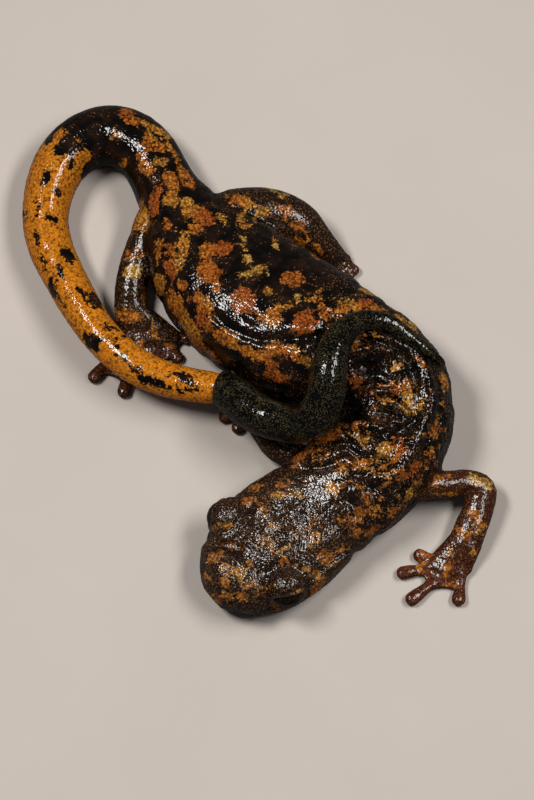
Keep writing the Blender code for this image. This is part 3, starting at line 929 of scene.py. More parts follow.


# Blotches of the head, trunk and limbs, read in the photograph.
R, U, O, C, Y = Tint.RED, Tint.RUST, Tint.ORANGE, Tint.OCHRE, Tint.YELLOW
BLOTCHES = blotches(
    # Tail root and hips.
    (126, 112, 7, 3.5, 15, U), (114, 133, 5, 3, 70, C), (147, 125, 7, 4, 25, C), (163, 131, 9, 5, 30, C),
    (147, 145, 7, 4.5, 15, U), (171, 147, 5, 2.5, 60, C), (177, 158, 7, 2, 70, O), (148, 170, 7, 5, 70, O),
    (171, 181, 10, 6, 70, O), (185, 174, 8, 4, 55, O), (191, 185, 4.5, 3, 50, U),
    (155, 202, 18, 5.5, 97, R), (172, 199, 7, 6, 0, C), (160, 162, 6, 2.5, 20, C), (125, 164, 5, 3, 80, O),
    (168, 224, 6, 4, 30, U), (131, 119, 9, 4, 30, U), (152, 137, 8, 4, 25, C), (140, 158, 6, 3.5, 60, O),
    (161, 148, 6, 4, 40, U),
    # Rear of the trunk.
    (190, 209, 11, 6.5, 75, C), (205, 218, 12, 8, 40, R), (195, 231, 7, 5, 0, O), (183, 246, 14, 4, 95, C),
    (207, 249, 9, 8, 0, O), (222, 248, 12, 7, 5, R), (158, 249, 11, 3.5, 95, O), (168, 251, 8, 4, 60, U),
    (170, 271, 14, 4, 75, R), (177, 264, 10, 4, 80, C), (211, 271, 12, 9, 60, U), (176, 307, 18, 7, 58, O),
    (190, 329, 17, 7, 50, C), (201, 303, 14, 8, 48, O), (203, 319, 10, 6.5, 45, R),
    (224, 338, 17, 8.5, 32, O), (254, 355, 20, 6, 17, O), (244, 301, 13, 12, 50, R),
    (272, 315, 12, 9.5, 0, O), (293, 277, 10, 8, 0, U), (248, 257, 5.5, 4, -20, Y),
    (244, 274, 9, 3, -10, Y), (268, 272, 3, 3, 0, Y), (259, 268, 3.5, 3, 0, C), (244, 240, 3.5, 2.5, 0, Y),
    (242, 249, 2.5, 2, 0, Y), (265, 289, 5.5, 3, 30, C), (277, 245, 3, 2.5, 0, Y),
    (284, 304, 8, 2.5, -15, C), (296, 294, 3, 2.5, 0, Y), (311, 297, 5, 3.5, 25, C),
    (319, 292, 3.5, 2.5, 0, O), (303, 322, 14, 9.5, 8, R), (322, 307, 5.5, 5, 0, U),
    (327, 315, 6.5, 5.5, 0, O), (341, 309, 10, 7, -10, O), (354, 306, 9, 5.5, 0, C),
    (366, 303, 8, 4.5, 0, R), (378, 308, 9, 4.5, 10, O), (345, 297, 5.5, 1.6, -8, C),
    (403, 322, 9, 4.5, 45, C), (286, 350, 19, 7, 8, O), (295, 358, 10, 4, 0, R),
    (275, 376, 13, 6.5, 22, R), (215, 286, 6, 4, 60, U), (184, 286, 5, 4, 60, U), (164, 301, 13, 7, 62, O),
    (180, 325, 16, 7, 54, C), (198, 345, 14, 7, 46, O), (215, 359, 9, 5, 40, O), (209, 272, 13, 10, 0, U),
    (158, 286, 11, 6, 75, C), (161, 303, 12, 8, 65, O), (174, 326, 14, 9, 55, C), (191, 346, 14, 8, 45, O),
    (209, 362, 11, 6, 40, O),
    # Right flank of the bend.
    (441, 402, 2.5, 3, 0, C), (438, 417, 2.5, 3.5, 0, C), (444, 428, 2, 2.5, 0, U),
    (436, 434, 3, 2.5, 0, C), (442, 446, 3, 3, 0, C), (430, 455, 3.5, 3, 0, U), (426, 466, 3, 3.5, 0, C),
    (436, 462, 2.5, 3, 0, C), (420, 476, 3.5, 3, 0, U), (433, 374, 2.5, 4, 0, U), (444, 385, 2, 3, 0, U),
    (414, 492, 3, 3, 0, C), (398, 497, 4, 2.5, -20, C), (388, 517, 3.5, 3, 0, U), (378, 512, 3, 3, 0, C),
    (369, 534, 3, 2.5, 0, U),
    # The bend.
    (366, 337, 13, 3.5, -12, O), (357, 345, 6, 4, -50, O), (355, 381, 10, 5, 80, R),
    (407, 386, 8, 6.5, 10, O), (411, 399, 14, 6, 83, C), (396, 388, 6, 3, 20, U), (386, 399, 5, 2, 0, C),
    (369, 392, 5, 2, 0, U), (380, 384, 4, 3.5, 0, U), (422, 405, 4, 6, 20, C), (399, 366, 7, 5, 50, C),
    (421, 362, 6, 3.5, 60, U), (430, 389, 4, 3, 0, O), (376, 409, 5, 3, 20, U),
    # Front of the trunk.
    (385, 448, 8, 7, 20, C), (401, 447, 9, 7.5, 60, R), (394, 459, 8, 6, -30, O), (381, 466, 8, 4, -25, O),
    (356, 463, 16, 6.5, -8, O), (366, 465, 7, 4.5, 0, C), (344, 470, 6, 3.5, -15, O),
    (414, 466, 7, 6, 0, R), (404, 475, 8, 5, -40, U), (387, 477, 7, 4.5, -30, C),
    (385, 485, 6, 2.5, -20, O), (333, 488, 5, 4, 0, C), (326, 437, 12, 5.5, -10, U),
    (306, 450, 7, 6, 0, U), (296, 459, 6, 8, 30, R), (289, 461, 8, 5, -40, R), (322, 452, 6, 4, 20, U),
    (360, 436, 8, 4, 20, C), (368, 438, 5, 4, 0, C), (352, 425, 9, 4, 10, U), (364, 513, 9, 5, -30, U),
    (375, 527, 5, 4.5, 0, U), (361, 491, 4, 4, 0, C), (416, 484, 3.5, 2.5, 30, C),
    (408, 497, 3.5, 4, 0, C), (387, 507, 4, 1.8, 10, C), (394, 509, 5, 3, 20, U), (404, 509, 3, 2, 0, C),
    (433, 447, 3, 4, 0, C), (424, 436, 4, 3, 0, C), (368, 500, 6, 4, -20, U), (379, 497, 5, 3, -30, U),
    (345, 484, 6, 2.5, 0, U), (358, 534, 5, 4, 0, U),
    # Head.
    (247, 499, 5.5, 3, 20, U), (297, 494, 5.5, 2.5, 15, Y), (264, 509, 5, 3, 40, C),
    (228, 525, 5, 3.5, 20, C), (231, 546, 8, 3, 10, U), (226, 566, 5, 4, 60, C),
    (238, 571, 5.5, 3.5, 60, C), (252, 564, 5, 3.5, 0, C), (249, 583, 9, 5.5, -10, O),
    (229, 596, 5, 4.5, 60, O), (270, 530, 5.5, 3, -40, O), (271, 546, 7, 3.5, 50, O),
    (283, 550, 3.5, 3, 0, Y), (286, 564, 4.5, 4, 0, U), (309, 525, 7, 2.5, -50, O),
    (313, 537, 6, 2.5, -60, C), (328, 560, 10, 5, -32, O), (315, 573, 5, 4, -20, C),
    (319, 584, 8, 3.5, -35, U), (305, 567, 4, 3, 0, C), (343, 550, 5.5, 3, -40, O), (365, 514, 6, 4, 0, O),
    (268, 588, 4.5, 2.5, 0, O), (240, 480, 7, 2.5, -35, O), (255, 486, 5, 3, -35, U),
    (282, 496, 8, 2.5, -10, C), (272, 470, 7, 4, -40, U), (208, 580, 4, 3, 60, U),
    (214, 556, 6, 3, -60, U), (240, 597, 4, 3, 0, U), (262, 470, 4, 2.5, 0, U), (216, 600, 4, 3, 0, U),
    # Left hind leg.
    (247, 217, 11, 10, 0, C), (246, 203, 16, 5, 25, C), (270, 226, 11, 6.5, 30, U),
    (275, 236, 9, 5, 20, R), (262, 212, 6, 4, 30, C), (280, 208, 5, 3, 20, O), (299, 226, 7, 4.5, 40, U),
    (312, 239, 4, 3, 40, C), (289, 215, 6, 4.5, 30, U), (297, 240, 5, 4, 40, O), (222, 217, 5, 2.5, 50, C),
    (233, 199, 6, 3.5, -30, U), (273, 190, 5, 3, 10, Y), (284, 196, 5, 2.5, 40, Y),
    (306, 232, 5, 2.5, 50, U), (319, 250, 5, 2.5, 50, U),
    # Right hind leg.
    (140, 215, 16, 6, 88, C), (133, 270, 11, 6.5, 15, Y), (131, 254, 7, 3.5, 0, U),
    (126, 316, 15, 5, 8, O), (155, 334, 6, 4.5, 60, C), (168, 346, 4, 2.5, 0, U), (127, 240, 4, 3, 0, C),
    (140, 343, 4, 2.5, 0, U),
    # Left arm and hand.
    (436, 482, 5, 6, 0, O), (482, 481, 11, 4.5, 12, Y), (452, 494, 4, 3, 0, O), (439, 495, 4, 2, 0, C),
    (474, 514, 5, 3.5, 0, O), (483, 523, 7, 3, 110, C), (468, 536, 5.5, 3.5, 30, O),
    (457, 531, 5, 3.5, 60, O), (451, 552, 3.5, 3, 0, C), (473, 553, 3, 2, 90, C),
    (446, 570, 6, 2.5, 100, O), (421, 566, 5, 3, 30, O), (422, 574, 5, 2.5, 110, O),
    (426, 554, 5, 2.5, 0, U), (450, 583, 5, 2, 15, O), (447, 475, 4, 2.5, 0, U),
)
# Bare dark places inside the pigment: the eye of the thigh's ring, the tail's marks, places along the
# front's folds, and the bend's two hollows, left black as painted shade.
DARK_MARKS_AND_SHADE = blotches(
    (247.5, 217, 6.5, 6), (69, 256, 8, 5, 45), (356, 501, 6, 12, 20), (321, 471, 17, 4, -8),
    (362, 475, 9, 4, -30), (377, 491, 5, 8, 20), (374, 367, 14, 9), (347, 412, 13, 12),
    (60, 150, 8, 5, 120), (73, 163, 7, 3.5, 110), (46, 178, 9, 4, 100), (60, 192, 6, 4, 80),
    (38, 208, 8, 4, 90), (54, 222, 7, 4, 70), (36, 238, 8, 3.5, 80), (77, 143, 7, 5, 30),
    (84, 268, 9, 5, 50), (112, 316, 13, 6, 50), (53, 291, 11, 5, 60), (82, 293, 11, 3.5, 60),
    (95, 300, 11, 5, 55), (109, 326, 5, 4, 40), (90, 342, 11, 6, 50), (117, 349, 10, 3.5, 70),
    (137, 370, 8, 4, 30), (146, 381, 8, 4, 10), (163, 386, 9, 4, 25), (188, 377, 8, 5, 35),
    (213, 369, 8, 6, 80), (189, 391, 9, 2.5, 5), (127, 361, 5, 3, 50), (101, 338, 3.5, 3),
    (60, 270, 7, 3, 50), (172, 373, 4, 3), (66, 305, 4, 2.5), (122, 336, 3, 2), (44, 262, 8, 3, 60),
    (150, 361, 4, 2, 20),
)
CREASES = tuple(Crease(*row) for row in (
    # Inner side of the bend, where the skin is pushed together.
    (((353, 352), (366, 349), (380, 350), (389, 354)), 0.75, -0.75),
    (((353, 334), (364, 332), (378, 335), (387, 341)), 0.6, -0.4),
    (((352, 341), (362, 339.5), (376, 342), (387, 347)), 0.4, 0.4),
    (((392, 343), (406, 347), (418, 357), (424, 372), (428, 388), (430, 400),
      (426, 416), (419, 432), (411, 450), (400, 467), (388, 478)), 1.15, -0.62),
    (((396, 356), (405, 361), (412, 371), (416, 384)), 0.6, 0.42),
    (((388, 354), (399, 359), (408, 368)), 0.5, -0.28),
    (((378, 398), (388, 398), (398, 402), (409, 415)), 0.5, 0.6),
    (((381, 405), (393, 406), (403, 412)), 0.5, -0.5),
    (((378, 412), (390, 414), (400, 419)), 0.4, 0.3),
    (((393, 349), (404, 354), (412, 362)), 0.35, 0.2),
    (((366, 395), (380, 391), (394, 392)), 0.5, -0.3),
    (((362, 387), (376, 384), (388, 386)), 0.5, 0.2),
    (((388, 435), (398, 431), (408, 427), (416, 421)), 0.6, 0.45),
    (((357, 425), (368, 426), (381, 429), (391, 437)), 0.9, -0.6),
    (((362, 437), (372, 439), (380, 444)), 0.4, 0.35),
    (((340, 446), (350, 443), (361, 451)), 0.55, -0.45),
    # Front of the trunk.
    (((300, 467), (318, 467), (334, 463), (344, 458), (351, 463)), 0.7, 0.4),
    (((346, 437), (352, 446), (362, 453), (374, 456), (384, 460)), 0.6, 0.4),
    (((350, 474), (364, 476), (372, 470), (379, 461)), 0.5, 0.3),
    (((356, 487), (366, 485), (374, 489)), 0.5, 0.2),
    (((346, 500), (354, 506), (356, 516)), 0.6, 0.25),
    # Rear of the trunk.
    (((214, 315), (226, 326), (244, 335), (262, 341), (278, 340)), 0.6, 0.26),
    (((268, 339), (290, 339), (312, 338), (325, 334)), 0.7, 0.36),
    (((228, 238), (248, 240), (268, 251), (284, 263)), 0.7, 0.16),
    # Head and throat.
    (((267, 573), (279, 564), (294, 566), (305, 577), (309, 590)), 0.6, 0.2),
    (((214, 543), (227, 543), (241, 536), (249, 524), (248, 508)), 0.7, 0.2),
    (((236, 548), (250, 556), (260, 566), (262, 580), (266, 592)), 1.2, 0.22),
    (((213, 547), (224, 547), (236, 548)), 0.9, 0.22),
    (((208, 537), (215, 544), (213, 553), (207, 562)), 0.3, 0.2),
    (((262, 523), (268, 536), (264, 552)), 0.6, 0.14),
    (((302, 514), (305, 530), (300, 549)), 0.5, 0.18),
    (((276, 516), (288, 508), (304, 496)), 0.5, 0.12),
    (((303, 599), (310, 586), (320, 571), (332, 562), (346, 554)), 0.4, 0.4),
    (((236, 494), (247, 484), (259, 475), (270, 466)), 0.4, 0.2),
    (((299, 604), (305, 598), (306, 591)), 0.22, 0.1),
))
SWELLINGS = tuple(Swelling(*row) for row in (
    # Two deep hollows on the inner side of the bend.
    (368, 367, 21, 11, 3, -0.85), (348, 411, 16, 15, 0, -0.9),
    # Low swellings between the folds, and the domes of the snout and the head.
    (223, 573, 22, 17, 50, 0.25), (284, 537, 16, 12, -40, 0.22), (323, 541, 19, 13, -40, 0.22),
    (262, 508, 14, 9, -40, 0.15), (319, 461, 16, 5, -8, 0.2), (353, 447, 11, 4.5, 40, 0.2),
    (374, 478, 8, 7, 0, 0.2), (400, 420, 14, 5, -20, 0.2), (375, 343, 16, 4.5, 8, 0.2),
    (374, 352, 16, 4, 5, 0.15), (252, 318, 18, 7, 30, 0.15), (303, 326, 18, 8, 5, 0.2),
))


@dataclass(frozen=True)
class Eye:
    """One eyeball and the lids that the head's skin forms round it."""

    side: Side
    pixel: Pair
    node: str
    height: float = 3.7
    ball: float = 1.6
    lid: float = 2.0
    forward: float = math.radians(28.0)
    lifted: float = math.radians(8.0)
    half_long: float = math.radians(58.0)
    half_high: float = math.radians(35.0)
    head_at: float = 5.5
    rim: float = 0.13
    cup: float = 0.2
    lid_fold: float = 0.07
    lid_groove: float = 0.09
    dome_long: float = 1.08
    cornea: float = 0.05

    def centre(self) -> Array:
        """The middle of the eyeball."""
        return VIEW.place(*self.pixel, self.height)

    def axes(self) -> tuple[Array, Array, Array]:
        """Unit vectors along the gaze, level across it, and up.

        Returns:
            The three vectors.
        """
        along, left, _ = (axis[0] for axis in WAY.axes(self.head_at))
        outward = left * self.side.value
        level = outward * math.cos(self.forward) - along * math.sin(self.forward)
        level[2] = 0.0
        level /= np.linalg.norm(level)
        gaze = level * math.cos(self.lifted) + np.array((0.0, 0.0, math.sin(self.lifted)))
        across = np.cross((0.0, 0.0, 1.0), level)
        return gaze, across, np.cross(gaze, across)

    def add_lid(self, shell: Shell, part: int) -> None:
        """Add the dome of skin over the eyeball to a shell.

        Args:
            shell: Where the dome goes.
            part: The head's number.
        """
        along = WAY.axes(self.head_at)[0][0]
        turn = math.atan2(along[1], along[0])
        shell.add_ball(self.centre(), (self.lid * self.dome_long, self.lid, self.lid), turn, part)

    def open_lids(self, points: Array) -> tuple[Array, Array]:
        """Cut the lids' opening and form their rims.

        Args:
            points: The skin's points.

        Returns:
            The moved points, and how much each belongs to a lid's rim.
        """
        gaze, across, up = self.axes()
        away = points - self.centre()
        r = np.linalg.norm(away, axis=1)
        near = (r < self.lid * 1.6) & (away @ gaze > 0.0)
        unit = away[near] / r[near, None]
        azimuth = np.arctan2(unit @ across, unit @ gaze)
        lift = np.arcsin(np.clip(unit @ up, -1.0, 1.0))
        e = np.hypot(azimuth / self.half_long, lift / self.half_high)
        rim = self.ball + self.rim
        inside = self.ball - self.cup
        shaped = inside + (rim - inside) * smooth_step(0.88, 1.07, e)
        blend = smooth_step(1.08, 1.85, e)
        new = shaped + (r[near] - shaped) * blend
        new += self.lid_fold * hollow(e - 1.14, 0.13) - self.lid_groove * hollow(e - 1.42, 0.16)
        out = points.copy()
        out[near] = self.centre() + unit * new[:, None]
        mask = np.zeros(len(points))
        mask[near] = hollow(e - 1.06, 0.14)
        return out, mask

    def build(self) -> Item:
        """Make the eyeball, with its iris' place stored on its points.

        Returns:
            The eyeball's object.
        """
        gaze, across, up = self.axes()
        bm = bmesh.new()
        bmesh.ops.create_uvsphere(bm, u_segments=48, v_segments=32, radius=1.0)
        mesh = bpy.data.meshes.new(self.node + "_ball")
        bm.to_mesh(mesh)
        bm.free()
        item = link(self.node + "_ball", mesh)
        clay = Clay(item)
        unit = clay.points.copy()
        cornea = 1.0 + self.cornea * smooth_step(0.6, 1.0, unit[:, 2])
        axes = np.array((across, up, gaze))
        clay.points = (self.centre() + (unit * cornea[:, None] * self.ball) @ axes) * MM
        clay.store()
        clay.field("level", unit[:, 0])
        clay.field("height", unit[:, 1])
        clay.mesh.shade_smooth()
        return item


EYES = (
    Eye(Side.RIGHT, (226.5, 516.0), "eye_right"),
    Eye(Side.LEFT, (286.0, 583.0), "eye_left"),
)


@dataclass
class BodySkin:
    """The one skin of head, trunk, limbs and orange tail."""

    voxel: float = 0.12
    most_triangles: int = 188_000
    snout_wide: float = 5.5
    snout_high: float = 2.2
    groove_count: int = 13
    groove_depth: float = 0.13
    bend_depth: float = 0.16
    neck_folds: tuple[Pair, ...] = ((1.0, 0.4), (3.4, 0.28))
    mouth_length: float = 8.6
    mouth_depth: float = 0.22
    tail_inside: float = 0.4
    ragged: float = 0.45
    swell: float = 0.06
    wrinkle_depth: float = 0.06
    hidden_blotches: int = 70
    hidden_marks: int = 46
    hidden_step: int = 7
    ring_sides: int = 56
    ring_step: float = 0.3
    snout_rings: int = 26
    lump: float = 0.035
    small_lump: float = 0.02
    nostril_at: float = 1.1
    nostril_out: float = 1.8
    nostril_up: float = 1.25
    nostril_depth: float = 0.34
    nostril_wide: float = 0.26
    seed: int = 11
    nodes: tuple[str, ...] = (
        "head", "neck", "torso_front", "torso_bend", "torso_rear", "torso_loin", "hips",
        "tail_root", "tail_turn", "tail_side", "tail_middle", "tail_across",
    )
    ways: list[Way] = field(default_factory=list)
    folds: list[tuple[Crease, list[Array]]] = field(default_factory=list)
    spots: list[tuple[Swelling, Spot]] = field(default_factory=list)

    def build(self) -> Item:
        """Make the skin.

        Returns:
            The skin's object, with its fields for the material.
        """
        shell = self.form()
        finder = self.finder(shell)
        item = link("body_skin", shell.mesh("body_skin"))
        remesh = item.modifiers.new("one_skin", "REMESH")
        remesh.mode = "VOXEL"
        remesh.voxel_size = self.voxel
        bake_modifiers(item)
        LOG.info("body skin joined: %d points", len(item.data.vertices))
        clay = Clay(item)
        part, s = self.label(clay.points, finder)
        self.ease(clay, part)
        self.sculpt(clay, part, s)
        self.thin_out(clay, part, s)
        LOG.info("body skin thinned: %d triangles", len(item.data.polygons))
        self.paint(Clay(item), finder)
        item.data.shade_smooth()
        return item

    def form(self) -> Shell:
        """Gather the tubes that the skin is cast from.

        Returns:
            The shell.
        """
        shell = Shell()
        end = WAY.mark("tail_shoulder") + self.tail_inside
        turn = np.linspace(0.16, math.pi / 2.0, self.snout_rings)
        behind = evenly(self.snout_wide, end, self.ring_step)[1:]
        s = np.concatenate((self.snout_wide * (1.0 - np.cos(turn)), behind))
        across = np.sqrt(1.0 - (1.0 - np.minimum(s / self.snout_wide, 1.0)) ** 2)
        tall = np.sqrt(1.0 - (1.0 - np.minimum(s / self.snout_high, 1.0)) ** 2)
        tail = smooth_step(WAY.mark("hips"), WAY.mark("tail_side"), s)[:, None]
        crown = 2.35 - 0.35 * tail
        belly = 2.5 - 0.5 * tail
        taper = np.column_stack((across, tall))
        shell.add_loft(WAY.rings(s, self.ring_sides, crown, belly, taper), 0, s)
        for eye in EYES:
            eye.add_lid(shell, 0)
        for number, limb in enumerate(LIMBS):
            self.ways.append(limb.add_to(shell, 1 + 2 * number))
        return shell

    def finder(self, shell: Shell) -> Finder:
        """A search tree of the tubes' points, with each point's part and length.

        Args:
            shell: The tubes.

        Returns:
            The tree and the labels.
        """
        points, labels = np.vstack(shell.points), np.vstack(shell.labels)
        head_balls = (labels[:, 0] == 0.0) & (labels[:, 1] == 0.0)
        tree = KDTree(len(points))
        for i, point in enumerate(points):
            tree.insert(point, i)
        tree.balance()
        labels[head_balls, 1] = self.snout_wide
        return tree, labels

    def label(self, points: Array, finder: Finder) -> tuple[Array, Array]:
        """The part that each point belongs to, and its length along that part's way.

        Args:
            points: The points.
            finder: The tubes' search tree and labels.

        Returns:
            The parts and the lengths.
        """
        tree, labels = finder
        nearest = np.array([tree.find(point)[1] for point in points])
        part = labels[nearest, 0].astype(int)
        s = labels[nearest, 1]
        trunk = part == 0
        s[trunk] = WAY.nearest(points[trunk], s[trunk])
        return part, s

    def ease(self, clay: Clay, part: Array) -> None:
        """Smooth the cast skin, most of all where the limbs join the trunk.

        Args:
            clay: The skin.
            part: Each point's part.
        """
        clay.smooth(5, 0.55, 1.03)
        joint = np.abs(clay.spread(part.astype(float)) - part) > 0.01
        clay.smooth(10, 0.6 * clay.soften(joint.astype(float) * 3.0, 6).clip(0.0, 1.0))
        clay.smooth(2, 0.4, 1.0)

    def around(self, points: Array, s: Array) -> tuple[Array, Array]:
        """Where points lie in their cross-section: across and up, as shares of the half sizes.

        Args:
            points: The points.
            s: Each point's length along the way.

        Returns:
            The shares across and up.
        """
        rows = WAY.read(s)
        _, left, up = WAY.axes(s)
        away = points - rows[:, :3]
        level = np.einsum("ij,ij->i", away, left) / rows[:, 3]
        height = np.einsum("ij,ij->i", away, up)
        return level, height / np.where(height > 0.0, rows[:, 4], rows[:, 5])

    def grooves(self, points: Array, part: Array, s: Array) -> Array:
        """How deep the costal grooves and neck folds press each point.

        Args:
            points: The points.
            part: Each point's part.
            s: Each point's length.

        Returns:
            One depth for each point.
        """
        first = WAY.mark("torso_front") + 1.5
        last = WAY.mark("hips") + 1.0
        spacing = (last - first) / self.groove_count
        level, height = self.around(points, s)
        turn = np.arctan2(height, level)
        flank = np.clip(np.abs(np.cos(turn)) - 0.2, 0.0, 1.0) / 0.8
        away = (s - first) % spacing - spacing / 2.0
        bend = WAY.bend(s)
        inner = smooth_step(0.02, 0.1, np.cos(turn) * bend)
        deep = self.groove_depth + (self.bend_depth - self.groove_depth) * inner
        inside = smooth_step(first, first + 0.8, s) * (1.0 - smooth_step(last - 0.8, last, s))
        depth = deep * flank * inside * hollow(away, 0.3 * spacing)
        for after, fold in self.neck_folds:
            low = 0.5 - 0.5 * np.sin(turn)
            depth += fold * (0.1 + 0.9 * low) * hollow(s - WAY.mark("neck") - after, 0.8)
        return np.where(part == 0, depth, 0.0)

    def hollows(self, points: Array) -> Array:
        """How deep the hollows lie at each point."""
        return sum(np.maximum(-swelling.lift(spot, points), 0.0) for swelling, spot in self.spots)

    def front(self, s: Array) -> Array:
        """1 from the snout to the end of the bend, where the skin is folded, and 0 behind it."""
        return 1.0 - smooth_step(WAY.mark("torso_rear") - 1.0, WAY.mark("torso_rear") + 5.0, s)

    def behind_head(self, s: Array) -> Array:
        """0 on the head and 1 behind the neck."""
        return smooth_step(WAY.mark("neck") - 1.0, WAY.mark("neck") + 7.0, s)

    def mouth(self, points: Array, s: Array) -> Array:
        """How deep the line of the mouth presses each point, with its lips raised.

        Args:
            points: The head's points.
            s: Each point's length.

        Returns:
            One depth for each point.
        """
        level, height = self.around(points, s)
        rise = height * WAY.read(s)[:, 4]
        reach = np.clip((self.mouth_length - s) / 0.8, 0.0, 1.0)
        line = hollow(rise, 0.16) - 0.3 * hollow(rise - 0.34, 0.26) - 0.25 * hollow(rise + 0.36, 0.3)
        return self.mouth_depth * reach * line * (np.abs(level) > 0.2)

    def sculpt(self, clay: Clay, part: Array, s: Array) -> None:
        """Press and raise every fold, lip and swelling of the skin.

        Args:
            clay: The skin.
            part: Each point's part.
            s: Each point's length.
        """
        tree = clay.tree()
        normals = clay.normals()
        lift = -self.grooves(clay.points, part, s)
        for swelling in SWELLINGS:
            spot = swelling.spot(tree)
            if spot is not None:
                self.spots.append((swelling, spot))
                lift += swelling.lift(spot, clay.points)
        for crease in CREASES:
            places = crease.places(tree)
            self.folds.append((crease, places))
            lift -= crease.press(places, clay.points)
        trunk = part == 0
        mouth = np.zeros(len(part))
        mouth[trunk] = self.mouth(clay.points[trunk], s[trunk])
        lift -= np.where(s < self.mouth_length, mouth, 0.0)
        front = self.front(s) * trunk
        lumps = self.lump * unevenness(clay.points, 0.9) + self.small_lump * unevenness(clay.points, 0.45)
        head = 1.0 - self.behind_head(s)
        lift += lumps * (1.0 + 1.2 * front - 1.6 * head * trunk)
        wrinkles = hollow(unevenness(clay.points, 1.5), 0.16)
        lift -= self.wrinkle_depth * front * (1.0 - 0.6 * head) * wrinkles
        clay.points += normals * lift[:, None]
        for eye in EYES:
            clay.points, _ = eye.open_lids(clay.points)
            self.nostril(clay, eye.side)
        clay.points[:, 2] = np.maximum(clay.points[:, 2], 0.0)
        clay.store()

    def nostril(self, clay: Clay, side: Side) -> None:
        """Press one nostril into the snout, with a low rim.

        Args:
            clay: The skin.
            side: The head's side.
        """
        middle = WAY.read(self.nostril_at)[0, :3]
        outward = WAY.axes(self.snout_wide)[1][0] * side.value
        centre = middle + outward * self.nostril_out + np.array((0.0, 0.0, self.nostril_up))
        away = np.linalg.norm(clay.points - centre, axis=1)
        near = away < 1.4
        tip = clay.points[near][np.argmin(away[near])]
        reach = np.linalg.norm(clay.points[near] - tip, axis=1)
        inward = (middle - tip) / np.linalg.norm(middle - tip)
        push = self.nostril_depth * hollow(reach, self.nostril_wide) - 0.05 * hollow(reach - 0.34, 0.16)
        clay.points[near] += inward * push[:, None]

    def thin_out(self, clay: Clay, part: Array, s: Array) -> None:
        """Thin the skin to its budget of triangles, least on the head, hands and feet.

        Args:
            clay: The skin.
            part: Each point's part.
            s: Each point's length.
        """
        item = clay.item
        fine = np.where((part == 0) & (s < WAY.mark("neck")), 1.0, 0.0)
        fine = np.maximum(fine, np.where((part > 0) & (part % 2 == 0), 1.0, 0.0))
        loose = 1.0 - 0.93 * clay.soften(fine, 10).clip(0.0, 1.0)
        group = item.vertex_groups.new(name="loose")
        for level in range(11):
            share = level / 10.0
            members = np.nonzero(np.abs(loose - share) <= 0.05)[0].tolist()
            group.add(members, share, "REPLACE")
        thin = item.modifiers.new("thin", "DECIMATE")
        thin.ratio = self.most_triangles / (2.0 * len(item.data.polygons))
        thin.vertex_group = "loose"
        thin.vertex_group_factor = 4.0
        thin.use_collapse_triangulate = True
        bake_modifiers(item)
        item.vertex_groups.clear()

    def paint(self, clay: Clay, finder: Finder) -> None:
        """Store the fields that the material reads: pigment, tint, regions, and the folds' depth for painted
        shade.

        Args:
            clay: The thinned skin.
            finder: The tubes' search tree and labels.
        """
        points = clay.points
        part, s = self.label(points, finder)
        normals = clay.normals()
        trunk = part == 0
        head = np.where(trunk, 1.0 - self.behind_head(s), 0.0)
        tail = smooth_step(WAY.mark("tail_root") + 2.0, WAY.mark("tail_side") - 1.0, s)
        tail = np.where(trunk, tail, 0.0)
        limb = clay.soften((part > 0).astype(float), 10)
        warm = np.where((part == 2) | (part == 4), 1.0, np.where((part == 6) | (part == 8), 0.5, 0.0))
        warm = np.where(part == 1, 0.42, warm)
        thin = clay.soften(warm, 8)
        # The depth of grooves, hollows and folds, kept as "crease" for the material's painted shade.
        depth = self.grooves(points, part, s) + self.hollows(points)
        for crease, places in self.folds:
            depth += np.maximum(crease.press(places, points), 0.0)
        lids = sum(eye.open_lids(points)[1] for eye in EYES)
        belly = smooth_step(-0.15, -0.7, normals[:, 2])
        pigment, tint = self.pigment(clay, part, s, normals, tail)
        clay.field("pigment", clay.soften(pigment, 1))
        clay.field("tint", clay.soften(tint, 3))
        clay.field("head", clay.soften(head, 6))
        clay.field("front", clay.soften(self.front(s) * trunk, 6))
        clay.field("tail", tail)
        clay.field("limb", limb)
        clay.field("thin", thin)
        clay.field("crease", np.clip(depth / 0.4, 0.0, 1.0))
        clay.field("lid", np.clip(lids, 0.0, 1.0))
        clay.field("belly", clay.soften(belly, 8))
        clay.points = points * MM
        clay.store()

    def pigment(self, clay: Clay, part: Array, s: Array, normals: Array, tail: Array) -> tuple[Array, Array]:
        """How deep each point lies in pigment, in millimetres, and how yellow it is.

        Args:
            clay: The skin.
            part: Each point's part.
            s: Each point's length along its way.
            normals: Unit normals.
            tail: How much each point belongs to the orange tail.

        Returns:
            The depth, negative outside pigment, and the tint.
        """
        tree = clay.tree()
